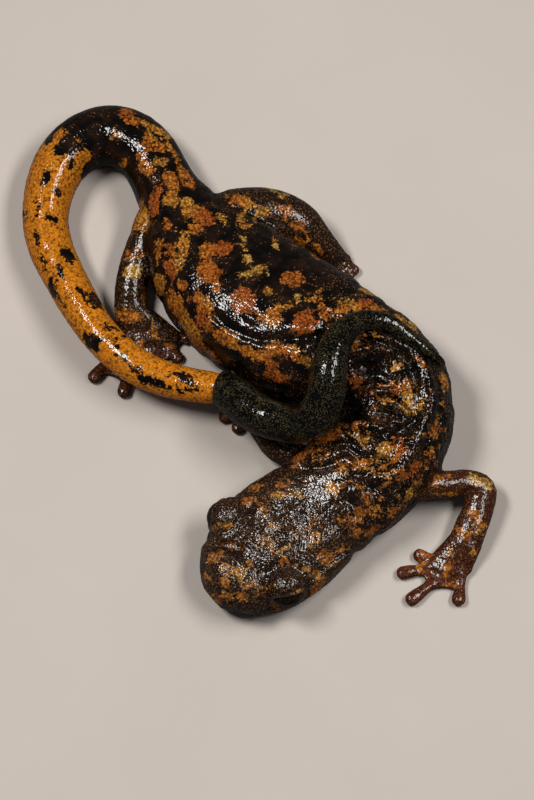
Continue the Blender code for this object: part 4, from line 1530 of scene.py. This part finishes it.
        # Without a seed, noise vectors take their start from the clock.
        noise.seed_set(self.seed)
        shift = np.array([noise.noise_vector(Vector(point) / 1.1) for point in clay.points])
        points = clay.points + self.ragged * shift
        depth = -1.3 + 2.4 * tail + 6.5 * tail * (1.0 - tail) * unevenness(clay.points, 1.6)
        folded = self.front(s) * self.behind_head(s)
        tint = np.full(len(points), Tint.ORANGE.value) + 0.12 * tail
        for blotch in BLOTCHES:
            reach = blotch.reach(tree, points)
            if reach is not None:
                reach = reach + self.swell * (1.0 - 1.8 * folded)
                tint = np.where(reach > np.maximum(depth, -0.3), blotch.tint.value, tint)
                depth = np.maximum(depth, reach)
        # Bare places let the black ground show: as marks, and as painted shade in the bend's two hollows.
        for mark in DARK_MARKS_AND_SHADE:
            reach = mark.reach(tree, points)
            if reach is not None:
                depth = np.minimum(depth, -reach)
        hidden = self.hidden(tree, points, normals)
        rng = np.random.default_rng(self.seed)
        spots = hidden[(s[hidden] < WAY.mark("tail_turn")) & (points[hidden, 2] > 1.5)]
        for i in rng.choice(spots, self.hidden_blotches):
            reach = self.random_oval(rng, points, points[i], normals[i], 0.3, 0.9)
            tint = np.where(reach > np.maximum(depth, -0.3), rng.uniform(0.1, 0.9), tint)
            depth = np.maximum(depth, reach)
        spots = hidden[(part[hidden] == 0) & (s[hidden] > WAY.mark("tail_turn"))]
        for i in rng.choice(spots, self.hidden_marks):
            reach = self.random_oval(rng, points, points[i], normals[i], 0.2, 0.6)
            depth = np.minimum(depth, -reach)
        return np.clip(depth, -1.5, 1.5), tint

    def hidden(self, tree: BVHTree, points: Array, normals: Array) -> Array:
        """Numbers of the points that the photograph's view doesn't show.

        Args:
            tree: The surface.
            points: Its points.
            normals: Their normals.

        Returns:
            The numbers, thinned out.
        """
        rays = VIEW.eye() - points
        rays /= np.linalg.norm(rays, axis=1, keepdims=True)
        turned = np.einsum("ij,ij->i", rays, normals) < 0.05
        out = []
        for i in range(0, len(points), self.hidden_step):
            start = Vector(points[i] + normals[i] * 0.1)
            if turned[i] or tree.ray_cast(start, Vector(rays[i]))[0] is not None:
                out.append(i)
        return np.array(out)

    def random_oval(
        self, rng: np.random.Generator, points: Array, centre: Array, normal: Array, low: float, high: float
    ) -> Array:
        """Depth inside an oval of random size and turn on the surface.

        Args:
            rng: The random numbers.
            points: The surface's points.
            centre: The oval's middle.
            normal: The normal there.
            low: Its least half length.
            high: Its greatest half length.

        Returns:
            One depth for each point.
        """
        side = np.cross(normal, rng.normal(size=3))
        side /= np.linalg.norm(side)
        long = rng.uniform(low, high)
        spans = (side * long, np.cross(normal, side) * long * rng.uniform(0.45, 0.9))
        return oval_depth(points, centre, spans, normal)


class Graph:
    """Adds nodes to one tree and joins them."""

    def __init__(self, tree: bpy.types.NodeTree) -> None:
        """Work on a tree.

        Args:
            tree: A shader or geometry tree.
        """
        self.tree = tree
        self.place: Socket | None = None

    def add(self, kind: str, values: dict | None = None, **settings: object) -> Node:
        """Add a node.

        Args:
            kind: Its type.
            values: For each input, by name or place, a number or the socket that feeds it.
            settings: Its own settings.

        Returns:
            The node.
        """
        node = self.tree.nodes.new(kind)
        for key, value in settings.items():
            setattr(node, key, value)
        for key, value in (values or {}).items():
            self.feed(value, node.inputs[key])
        return node

    def feed(self, value: object, socket: Socket) -> None:
        """Join an output to an input socket, or set a plain value on it.

        Args:
            value: The output socket or the value.
            socket: The input socket.
        """
        if isinstance(value, Socket):
            self.tree.links.new(value, socket)
        else:
            socket.default_value = value

    def math(self, operation: str, a: object, b: object = 0.0, clamp: bool = False) -> Socket:
        """The result of a sum on two numbers."""
        return self.add("ShaderNodeMath", {0: a, 1: b}, operation=operation, use_clamp=clamp).outputs[0]

    def times(self, a: object, b: object) -> Socket:
        """Two numbers multiplied."""
        return self.math("MULTIPLY", a, b)

    def less(self, a: object, b: object) -> Socket:
        """The first number less the second."""
        return self.math("SUBTRACT", a, b)

    def plus(self, base: object, *parts: tuple[object, object]) -> Socket:
        """A number with others added to it.

        Args:
            base: The first number.
            parts: For each other number, itself and the share of it that is added.

        Returns:
            The sum.
        """
        for value, share in parts:
            base = self.math("ADD", base, self.times(value, share))
        return base

    def blend(self, share: object, a: object, b: object) -> Socket:
        """One colour turning into another as share goes from 0 to 1."""
        return self.add("ShaderNodeMix", {0: share, 6: a, 7: b}, data_type="RGBA").outputs[2]

    def lerp(self, share: object, a: object, b: object) -> Socket:
        """One number turning into another as share goes from 0 to 1."""
        return self.add("ShaderNodeMix", {0: share, 2: a, 3: b}, data_type="FLOAT").outputs[0]

    def step(self, value: object, low: object, high: object) -> Socket:
        """0 below low and 1 above high, with a soft change between."""
        node = self.add("ShaderNodeMapRange", {0: value, 1: low, 2: high}, interpolation_type="SMOOTHSTEP")
        return node.outputs[0]

    def noise(self, size: float, detail: float = 2.0) -> Socket:
        """A soft random field from about -0.5 to 0.5, with features of a size in millimetres."""
        values = {"Vector": self.place, "Scale": 1.0 / (size * MM), "Detail": detail, "Roughness": 0.55}
        return self.math("SUBTRACT", self.add("ShaderNodeTexNoise", values).outputs[0], 0.5)

    def cells(self, size: float) -> Node:
        """Random cells of a size in millimetres."""
        return self.add("ShaderNodeTexVoronoi", {"Vector": self.place, "Scale": 1.0 / (size * MM)})

    def field(self, name: str) -> Socket:
        """A field that is stored on the piece."""
        return self.add("ShaderNodeAttribute", attribute_name=name).outputs["Fac"]

    def ramp(self, value: object, stops: tuple[tuple[float, tuple], ...]) -> Socket:
        """Colours along a value.

        Args:
            value: The value.
            stops: For each stop, its place and its colour.

        Returns:
            The colour's socket.
        """
        node = self.add("ShaderNodeValToRGB", {0: value})
        elements = node.color_ramp.elements
        while len(elements) < len(stops):
            elements.new(0.5)
        for element, (place, colour) in zip(elements, stops):
            element.position = place
            element.color = (*colour, 1.0)
        return node.outputs[0]


def new_group(
    name: str, kind: str, inputs: dict[str, str], outputs: dict[str, str]
) -> tuple[Graph, dict[str, Socket], Node]:
    """Start a node group with named sockets.

    Args:
        name: The group's name.
        kind: The tree's type.
        inputs: For each input, its socket type.
        outputs: For each output, its socket type.

    Returns:
        The graph, the group input's sockets by name, and the group output node.
    """
    tree = bpy.data.node_groups.new(name, kind)
    for socket, socket_type in inputs.items():
        tree.interface.new_socket(socket, in_out="INPUT", socket_type=socket_type)
    for socket, socket_type in outputs.items():
        tree.interface.new_socket(socket, in_out="OUTPUT", socket_type=socket_type)
    graph = Graph(tree)
    source = graph.add("NodeGroupInput")
    sockets = {output.name: output for output in source.outputs if output.name}
    return graph, sockets, graph.add("NodeGroupOutput")


def start_material(name: str, roughness: float, index: float = 1.5) -> tuple[Material, Graph, Node]:
    """Make a material with a plain shader.

    Args:
        name: Its name.
        roughness: The shader's roughness.
        index: Its index of refraction.

    Returns:
        The material, its graph, with Object coordinates as the place, and its shader.
    """
    material = bpy.data.materials.new(name)
    material.use_nodes = True
    graph = Graph(material.node_tree)
    shader = material.node_tree.nodes["Principled BSDF"]
    shader.inputs["IOR"].default_value = index
    shader.inputs["Roughness"].default_value = roughness
    graph.place = graph.add("ShaderNodeTexCoord").outputs["Object"]
    return material, graph, shader


class PigmentDots:
    """A shader group: pigment laid down as small dots, ragged at its edges."""

    def __init__(self) -> None:
        """Build the group."""
        number, vector = "NodeSocketFloat", "NodeSocketVector"
        inputs = {"Place": vector, "Size": number, "Cover": number, "Ragged": number, "Soft": number}
        outputs = {"Dots": number, "Chance": number}
        graph, given, out = new_group("Pigment dots", "ShaderNodeTree", inputs, outputs)
        scale = graph.math("DIVIDE", 1.0 / MM, given["Size"])
        cells = graph.add("ShaderNodeTexVoronoi", {"Vector": given["Place"], "Scale": scale})
        parts = graph.add("ShaderNodeSeparateColor", {0: cells.outputs["Color"]})
        cover = graph.plus(given["Cover"], (graph.less(parts.outputs[0], 0.5), given["Ragged"]))
        mask = graph.step(cover, graph.times(given["Soft"], -1.0), given["Soft"])
        grain = graph.less(1.0, graph.step(cells.outputs["Distance"], 0.4, 0.75))
        graph.feed(graph.times(mask, graph.lerp(grain, 0.5, 1.0)), out.inputs["Dots"])
        graph.feed(parts.outputs[0], out.inputs["Chance"])
        self.tree = graph.tree

    def place_in(self, graph: Graph, size: float, cover: object, ragged: object) -> Node:
        """Put the group into a material and give it its values."""
        values = {"Place": graph.place, "Size": size, "Cover": cover, "Ragged": ragged, "Soft": 0.05}
        return graph.add("ShaderNodeGroup", values, node_tree=self.tree)


class WetGrain:
    """A shader group: the height of fine granules under a film of water."""

    def __init__(self) -> None:
        """Build the group."""
        number, vector = "NodeSocketFloat", "NodeSocketVector"
        inputs = {"Place": vector, "Size": number, "Fine Share": number}
        graph, given, out = new_group("Wet grain", "ShaderNodeTree", inputs, {"Height": number})
        scale = graph.math("DIVIDE", 1.0 / MM, given["Size"])
        values = {"Vector": given["Place"], "Scale": scale, "Smoothness": 0.6}
        cells = graph.add("ShaderNodeTexVoronoi", values, feature="SMOOTH_F1")
        dome = graph.less(1.0, graph.math("POWER", cells.outputs["Distance"], 1.6))
        layers = []
        for finer in (1.9, 0.35):
            values = {"Vector": given["Place"], "Scale": graph.times(scale, finer), "Detail": 1.0}
            layers.append(graph.add("ShaderNodeTexNoise", values))
        fine, broad = layers
        height = graph.plus(dome, (fine.outputs[0], given["Fine Share"]), (broad.outputs[0], 0.5))
        graph.feed(height, out.inputs["Height"])
        self.tree = graph.tree

    def place_in(self, graph: Graph, size: float, fine: float) -> Socket:
        """Put the group into a material and give it its values."""
        values = {"Place": graph.place, "Size": size, "Fine Share": fine}
        return graph.add("ShaderNodeGroup", values, node_tree=self.tree).outputs["Height"]


@dataclass(frozen=True)
class WetFinish:
    """What every wet skin shares: its gloss and its grain, with sizes in millimetres."""

    name: str
    index: float = 1.39
    roughness: float = 0.1
    grain: float = 0.23
    head_grain: float = 0.19
    fold_grain: float = 0.31
    grain_depth: float = 0.055
    fine_share: float = 0.18

    def roughen(
        self, graph: Graph, shader: Node, grain: WetGrain,
        share: object = 1.0, head: object = None, folds: object = None,
    ) -> None:
        """Feed the grain's height to the shader's normal.

        Args:
            graph: The material's graph.
            shader: Its shader.
            grain: The shared group of granules.
            share: How much of the grain's depth is left at each place.
            head: Where the head's finer grain lies.
            folds: Where the folded skin's broader grain lies.
        """
        height = grain.place_in(graph, self.grain, self.fine_share)
        if head is not None:
            fine = grain.place_in(graph, self.head_grain, self.fine_share)
            height = graph.lerp(head, height, fine)
            broad = grain.place_in(graph, self.fold_grain, self.fine_share)
            height = graph.lerp(folds, height, broad)
        values = {"Strength": 1.0, "Distance": graph.times(share, self.grain_depth * MM), "Height": height}
        graph.feed(graph.add("ShaderNodeBump", values).outputs["Normal"], shader.inputs["Normal"])


@dataclass(frozen=True)
class BodyFinish(WetFinish):
    """Black-brown skin with orange and ochre blotches, a speckled head and an orange tail, and painted shade
    in its folds and hollows.
    """

    black: tuple = (0.002, 0.0015, 0.001, 1.0)
    brown: tuple = (0.016, 0.007, 0.004, 1.0)
    limb_brown: tuple = (0.014, 0.006, 0.003, 1.0)
    digit_brown: tuple = (0.07, 0.016, 0.006, 1.0)
    head_brown: tuple = (0.016, 0.008, 0.005, 1.0)
    belly_grey: tuple = (0.03, 0.024, 0.02, 1.0)
    lid_grey: tuple = (0.07, 0.05, 0.035, 1.0)
    orange: tuple = (
        (0.0, (0.34, 0.075, 0.01)), (0.25, (0.37, 0.1, 0.012)), (0.5, (0.45, 0.15, 0.015)),
        (0.75, (0.46, 0.2, 0.025)), (1.0, (0.52, 0.32, 0.07)),
    )
    tail_orange: tuple = (0.6, 0.19, 0.006, 1.0)
    speck_ochre: tuple = (0.17, 0.085, 0.034, 1.0)
    head_ochre: tuple = (0.4, 0.18, 0.04, 1.0)
    smudge: tuple = (0.012, 0.007, 0.006, 1.0)
    gap_red: tuple = (0.065, 0.016, 0.004, 1.0)
    dot_size: float = 0.2
    speck_size: float = 0.13
    dark_speck_size: float = 0.24
    limb_roughness: float = 0.17
    trunk_depth: float = 0.55
    front_depth: float = 1.3
    head_depth: float = 0.8
    tail_depth: float = 0.42
    limb_depth: float = 0.6

    def material(self, dots: PigmentDots, grain: WetGrain) -> Material:
        """Build the material.

        Args:
            dots: The shared group of pigment dots.
            grain: The shared group of granules.

        Returns:
            The material.
        """
        material, graph, shader = start_material(self.name, self.roughness, self.index)
        names = ("head", "tail", "limb", "thin", "belly", "lid", "front", "crease")
        head, tail, limb, thin, belly, lid, front, crease = (graph.field(name) for name in names)
        coarse, middle, fine = (graph.noise(size) for size in (1.5, 0.6, 0.25))
        ground = graph.blend(graph.step(coarse, -0.15, 0.25), self.black, self.brown)
        ground = graph.blend(head, ground, self.head_brown)
        ground = graph.blend(limb, ground, self.limb_brown)
        ground = graph.blend(thin, ground, self.digit_brown)
        mottle = graph.times(thin, graph.step(middle, 0.0, 0.14))
        ground = graph.blend(graph.times(mottle, 0.75), ground, self.limb_brown)
        ground = graph.blend(graph.times(belly, 0.8), ground, self.belly_grey)
        colour = self.add_specks(graph, ground, (head, front, limb, belly, coarse))
        edge = graph.plus(graph.field("pigment"), (coarse, 0.5), (middle, 0.9), (fine, 0.3))
        ragged = graph.lerp(head, graph.lerp(front, 0.22, 0.4), 0.5)
        node = dots.place_in(graph, self.dot_size, edge, ragged)
        tint = graph.plus(graph.field("tint"), (middle, 0.8), (node.outputs["Chance"], 0.3))
        tint = graph.math("SUBTRACT", tint, 0.15, clamp=True)
        pigment = graph.ramp(tint, self.orange)
        pigment = graph.blend(graph.times(tail, 0.75), pigment, self.tail_orange)
        pigment = graph.blend(graph.times(head, 0.45), pigment, self.head_ochre)
        pigment = self.add_gaps(graph, pigment, graph.lerp(tail, 0.75, 0.25))
        colour = graph.blend(node.outputs["Dots"], colour, pigment)
        smudge = graph.step(graph.noise(1.05), 0.0, 0.13)
        smudge = graph.times(smudge, graph.times(head, 0.45))
        colour = graph.blend(smudge, colour, self.smudge)
        colour = self.add_dark_specks(graph, colour, dots)
        colour = graph.blend(graph.times(lid, 0.6), colour, self.lid_grey)
        # Painted shade: the skin is darkened towards black in its folds, grooves and hollows.
        colour = graph.blend(graph.times(crease, 0.8), colour, self.black)
        graph.feed(colour, shader.inputs["Base Color"])
        folds = graph.times(front, graph.less(1.0, head))
        share = graph.lerp(front, self.trunk_depth, graph.lerp(head, self.front_depth, self.head_depth))
        share = graph.lerp(limb, graph.lerp(tail, share, self.tail_depth), self.limb_depth)
        self.roughen(graph, shader, grain, share, head, folds)
        graph.feed(graph.lerp(limb, self.roughness, self.limb_roughness), shader.inputs["Roughness"])
        return material

    def add_specks(self, graph: Graph, ground: object, fields: tuple) -> Socket:
        """Lay fine ochre specks over the ground, densest on the head.

        Args:
            graph: The material's graph.
            ground: The colour below.
            fields: Where the head, front, limbs and belly lie, and a coarse unevenness.

        Returns:
            The colour's socket.
        """
        head, front, limb, belly, coarse = fields
        share = graph.lerp(front, 0.04, graph.lerp(head, 0.18, 0.4))
        share = graph.math("MAXIMUM", share, graph.times(limb, 0.3))
        share = graph.math("MAXIMUM", share, graph.times(belly, 0.3))
        share = graph.plus(share, (coarse, graph.lerp(front, 0.5, 1.2)))
        cells = graph.cells(self.speck_size)
        parts = graph.add("ShaderNodeSeparateColor", {0: cells.outputs["Color"]})
        chosen = graph.math("LESS_THAN", parts.outputs[0], share)
        spot = graph.less(1.0, graph.step(cells.outputs["Distance"], 0.3, 0.6))
        mask = graph.times(graph.times(chosen, spot), 0.85)
        return graph.blend(mask, ground, self.speck_ochre)

    def add_gaps(self, graph: Graph, pigment: object, share: object) -> Socket:
        """Let red-brown skin show between the grains of pigment.

        Args:
            graph: The material's graph.
            pigment: The pigment's colour.
            share: How much of the gaps shows.

        Returns:
            The colour's socket.
        """
        gap = graph.times(graph.step(graph.cells(self.grain).outputs["Distance"], 0.3, 0.7), share)
        return graph.blend(gap, pigment, self.gap_red)

    def add_dark_specks(self, graph: Graph, colour: object, dots: PigmentDots) -> Socket:
        """Lay fine black specks over the pigment."""
        node = dots.place_in(graph, self.dark_speck_size, -0.36, 1.0)
        return graph.blend(graph.times(node.outputs["Dots"], 0.65), colour, self.black)


@dataclass(frozen=True)
class TailEndFinish(WetFinish):
    """Black-green skin with fine gold specks."""

    black: tuple = (0.001, 0.001, 0.0008, 1.0)
    green: tuple = (0.002, 0.0022, 0.0014, 1.0)
    gold: tuple = (0.06, 0.046, 0.02, 1.0)
    share: float = 0.2
    speck_size: float = 0.085

    def material(self, dots: PigmentDots, grain: WetGrain) -> Material:
        """Build the material.

        Args:
            dots: The shared group of pigment dots.
            grain: The shared group of granules.

        Returns:
            The material.
        """
        material, graph, shader = start_material(self.name, self.roughness, self.index)
        coarse = graph.noise(1.3)
        ground = graph.blend(graph.step(coarse, -0.2, 0.2), self.black, self.green)
        cover = graph.plus(self.share - 0.5, (coarse, 0.5))
        specks = dots.place_in(graph, self.speck_size, cover, 1.0)
        colour = graph.blend(graph.times(specks.outputs["Dots"], 0.9), ground, self.gold)
        graph.feed(colour, shader.inputs["Base Color"])
        self.roughen(graph, shader, grain)
        return material


@dataclass(frozen=True)
class EyeFinish:
    """A dark glossy eye: a level black pupil in a dark iris with gold flecks."""

    name: str = "dark_eye"
    pupil: tuple = (0.002, 0.002, 0.002, 1.0)
    iris: tuple = (0.004, 0.003, 0.002, 1.0)
    gold: tuple = (0.035, 0.022, 0.008, 1.0)
    pupil_long: float = 0.4
    pupil_high: float = 0.26
    roughness: float = 0.04
    index: float = 1.25

    def material(self) -> Material:
        """Build the material.

        Returns:
            The material.
        """
        material, graph, shader = start_material(self.name, self.roughness, self.index)
        level, height = graph.field("level"), graph.field("height")
        pupil = graph.step(self.squares(graph, level, height, self.pupil_long, self.pupil_high), 0.8, 1.2)
        outer = graph.step(self.squares(graph, level, height, 1.0, 1.0), 0.42, 0.56)
        flecks = graph.step(graph.noise(0.12, 3.0), 0.02, 0.16)
        iris = graph.blend(flecks, self.iris, self.gold)
        colour = graph.blend(pupil, self.pupil, graph.blend(outer, iris, self.pupil))
        graph.feed(colour, shader.inputs["Base Color"])
        return material

    def squares(self, graph: Graph, level: object, height: object, long: float, high: float) -> object:
        """How far out a place lies in an oval, squared and 1 at its edge."""
        sides = (graph.math("DIVIDE", level, long), graph.math("DIVIDE", height, high))
        return graph.math("ADD", *(graph.times(side, side) for side in sides))


@dataclass
class TailEnd:
    """The tail's dark end, swept along its way, with a round shoulder over the orange length."""

    sides: int = 72
    step: float = 0.14
    lap: float = 0.25
    lip: float = 0.35
    shoulder: float = 1.68
    shoulder_long: float = 0.6
    tip_long: float = 0.5
    bump: float = 0.035
    bump_size: float = 0.8
    nodes: tuple[str, ...] = ("tail_shoulder", "tail_curl", "tail_over", "tail_back", "tail_tip")

    def build(self, material: Material) -> Item:
        """Sweep the tail's end.

        Args:
            material: Its finish.

        Returns:
            The object.
        """
        item = link("tail_end_skin", self.path())
        sweep = item.modifiers.new("sweep", "NODES")
        sweep.node_group = self.tree()
        sockets = {socket.name: socket.identifier for socket in sweep.node_group.interface.items_tree}
        sweep[sockets["Sides"]] = self.sides
        sweep[sockets["Spacing"]] = self.step
        sweep[sockets["Skin"]] = material
        bake_modifiers(item)
        clay = Clay(item)
        bumps = self.bump * unevenness(clay.points, self.bump_size)
        clay.points += clay.normals() * bumps[:, None]
        clay.points *= MM
        clay.store()
        item.data.shade_smooth()
        return item

    def path(self) -> Mesh:
        """The way as a chain of edges in millimetres, with its girth on its points.

        Returns:
            The mesh.
        """
        start = WAY.mark("tail_shoulder") - self.lap
        s = evenly(start, WAY.length, self.step)
        rows = WAY.read(s)
        from_start = np.clip((s - start) / self.lip, 0.0, 1.0)
        from_end = np.clip((WAY.length - s) / self.tip_long, 0.0, 1.0)
        at_shoulder = s < WAY.mark("tail_shoulder") + self.shoulder_long
        girth = np.maximum(rows[:, 3], self.shoulder * at_shoulder)
        girth = girth * (0.86 + 0.14 * np.sqrt(1.0 - (1.0 - from_start) ** 2))
        girth = girth * np.sqrt(np.maximum(1.0 - (1.0 - from_end) ** 2, 0.004))
        mesh = bpy.data.meshes.new("tail_end_skin")
        edges = [(i, i + 1) for i in range(len(s) - 1)]
        mesh.from_pydata(rows[:, :3].tolist(), edges, [])
        layer = mesh.attributes.new("girth", "FLOAT", "POINT")
        layer.data.foreach_set("value", girth.astype(np.float32))
        return mesh

    def tree(self) -> bpy.types.NodeTree:
        """The geometry nodes that sweep a round section along a chain of points.

        Returns:
            The tree.
        """
        inputs = {
            "Geometry": "NodeSocketGeometry", "Sides": "NodeSocketInt", "Spacing": "NodeSocketFloat",
            "Skin": "NodeSocketMaterial",
        }
        graph, given, out = new_group(
            "Sweep along a way", "GeometryNodeTree", inputs, {"Geometry": "NodeSocketGeometry"}
        )
        graph.tree.is_modifier = True
        curve = graph.add("GeometryNodeMeshToCurve", {"Mesh": given["Geometry"]})
        values = {"Curve": curve.outputs[0], "Length": given["Spacing"]}
        resample = graph.add("GeometryNodeResampleCurve", values, mode="LENGTH")
        girth = graph.add("GeometryNodeInputNamedAttribute", {"Name": "girth"}, data_type="FLOAT")
        values = {"Curve": resample.outputs[0], "Radius": girth.outputs[0]}
        radius = graph.add("GeometryNodeSetCurveRadius", values)
        ring = graph.add("GeometryNodeCurvePrimitiveCircle", {"Resolution": given["Sides"], "Radius": 1.0})
        values = {"Curve": radius.outputs[0], "Profile Curve": ring.outputs[0], "Fill Caps": True}
        tube = graph.add("GeometryNodeCurveToMesh", values)
        if "Scale" in tube.inputs:
            graph.feed(girth.outputs[0], tube.inputs["Scale"])
        real = graph.add("GeometryNodeRealizeInstances", {"Geometry": tube.outputs[0]})
        values = {"Geometry": real.outputs[0], "Material": given["Skin"]}
        dressed = graph.add("GeometryNodeSetMaterial", values)
        graph.feed(dressed.outputs[0], out.inputs["Geometry"])
        return graph.tree


@dataclass(frozen=True)
class SoftLight:
    """An oval soft light that is hung between two directions, as seen from the animal."""

    name: str
    near: tuple[float, float, float]
    far: tuple[float, float, float]
    power: float
    width: float = 0.09
    distance: float = 0.43
    colour: tuple[float, float, float] = (1.0, 0.98, 0.95)

    def hang(self) -> None:
        """Put the light into the scene, facing the animal."""
        near, far = (Vector(end).normalized() * self.distance for end in (self.near, self.far))
        middle = (near + far) / 2.0
        out = middle.normalized()
        along = far - near
        data = bpy.data.lights.new(self.name, "AREA")
        data.shape = "ELLIPSE"
        data.size, data.size_y = self.width, along.length
        data.energy = self.power
        data.color = self.colour
        along = (along - out * along.dot(out)).normalized()
        item = bpy.data.objects.new(self.name, data)
        item.location = middle
        item.rotation_mode = "QUATERNION"
        item.rotation_quaternion = Matrix((along.cross(out), along, out)).transposed().to_quaternion()
        bpy.context.scene.collection.objects.link(item)


LIGHTS = (
    SoftLight("left_light", (-0.38, -0.14, 0.91), (-0.50, 0.26, 0.83), 1.35),
    SoftLight("right_light", (0.42, -0.30, 0.85), (0.52, 0.34, 0.79), 1.2),
)


@dataclass(frozen=True)
class Studio:
    """The pale floor, the soft lights and the camera."""

    floor_colour: tuple = (0.448, 0.401, 0.363, 1.0)
    floor_size: float = 1.2
    floor_drop: float = 2e-5
    floor_roughness: float = 0.7
    dimmed: float = 0.88
    world: tuple = (0.85, 0.9, 1.0, 1.0)
    world_strength: float = 0.07

    def build(self) -> None:
        """Make the stage."""
        VIEW.make_camera()
        self.floor()
        for light in LIGHTS:
            light.hang()
        world = bpy.data.worlds.new("studio")
        bpy.context.scene.world = world
        world.use_nodes = True
        background = world.node_tree.nodes["Background"]
        background.inputs["Color"].default_value = self.world
        background.inputs["Strength"].default_value = self.world_strength
        bpy.context.scene.view_settings.view_transform = "Standard"

    def floor(self) -> None:
        """Lay a plain pale floor just under the animal, darkened towards black where glossy rays see it, as
        painted shade in reflections.
        """
        half = self.floor_size / 2.0
        mesh = bpy.data.meshes.new("floor")
        corners = [(x * half, y * half, -self.floor_drop) for x, y in ((-1, -1), (1, -1), (1, 1), (-1, 1))]
        mesh.from_pydata(corners, [], [(0, 1, 2, 3)])
        material, graph, shader = start_material("pale_floor", self.floor_roughness)
        cloud = graph.step(graph.noise(25.0, 4.0), -0.3, 0.3)
        darker = tuple(0.94 * channel for channel in self.floor_colour[:3]) + (1.0,)
        colour = graph.blend(cloud, darker, self.floor_colour)
        # Painted shade in reflections: glossy surfaces see the floor darkened towards black.
        mirrored = graph.times(graph.add("ShaderNodeLightPath").outputs["Is Glossy Ray"], self.dimmed)
        colour = graph.blend(mirrored, colour, (0.0, 0.0, 0.0, 1.0))
        graph.feed(colour, shader.inputs["Base Color"])
        mesh.materials.append(material)
        link("floor", mesh)


def attach(item: Item, nodes: tuple[str, ...]) -> None:
    """Let a finished piece ride on the model and stand for its solids.

    Args:
        item: The piece.
        nodes: The solids that it replaces.
    """
    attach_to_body(item, "root")
    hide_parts(*nodes)
    LOG.info("%s: %d faces, stands for %s", item.name, len(item.data.polygons), ", ".join(nodes))


def main() -> None:
    """Build every piece, dress it and set the stage."""
    logging.basicConfig(level=logging.INFO, format="%(name)s: %(message)s")
    Studio().build()
    dots, grain = PigmentDots(), WetGrain()
    body = BodySkin()
    skin = body.build()
    skin.data.materials.clear()
    skin.data.materials.append(BodyFinish("wet_blotched_skin").material(dots, grain))
    attach(skin, body.nodes + tuple(node for limb in LIMBS for node in limb.nodes))
    tail_end = TailEnd()
    finish = TailEndFinish("wet_black_gold_skin", grain_depth=0.026)
    attach(tail_end.build(finish.material(dots, grain)), tail_end.nodes)
    eye_material = EyeFinish().material()
    for eye in EYES:
        ball = eye.build()
        ball.data.materials.append(eye_material)
        attach(ball, (eye.node,))


if __name__ == "__main__":
    main()
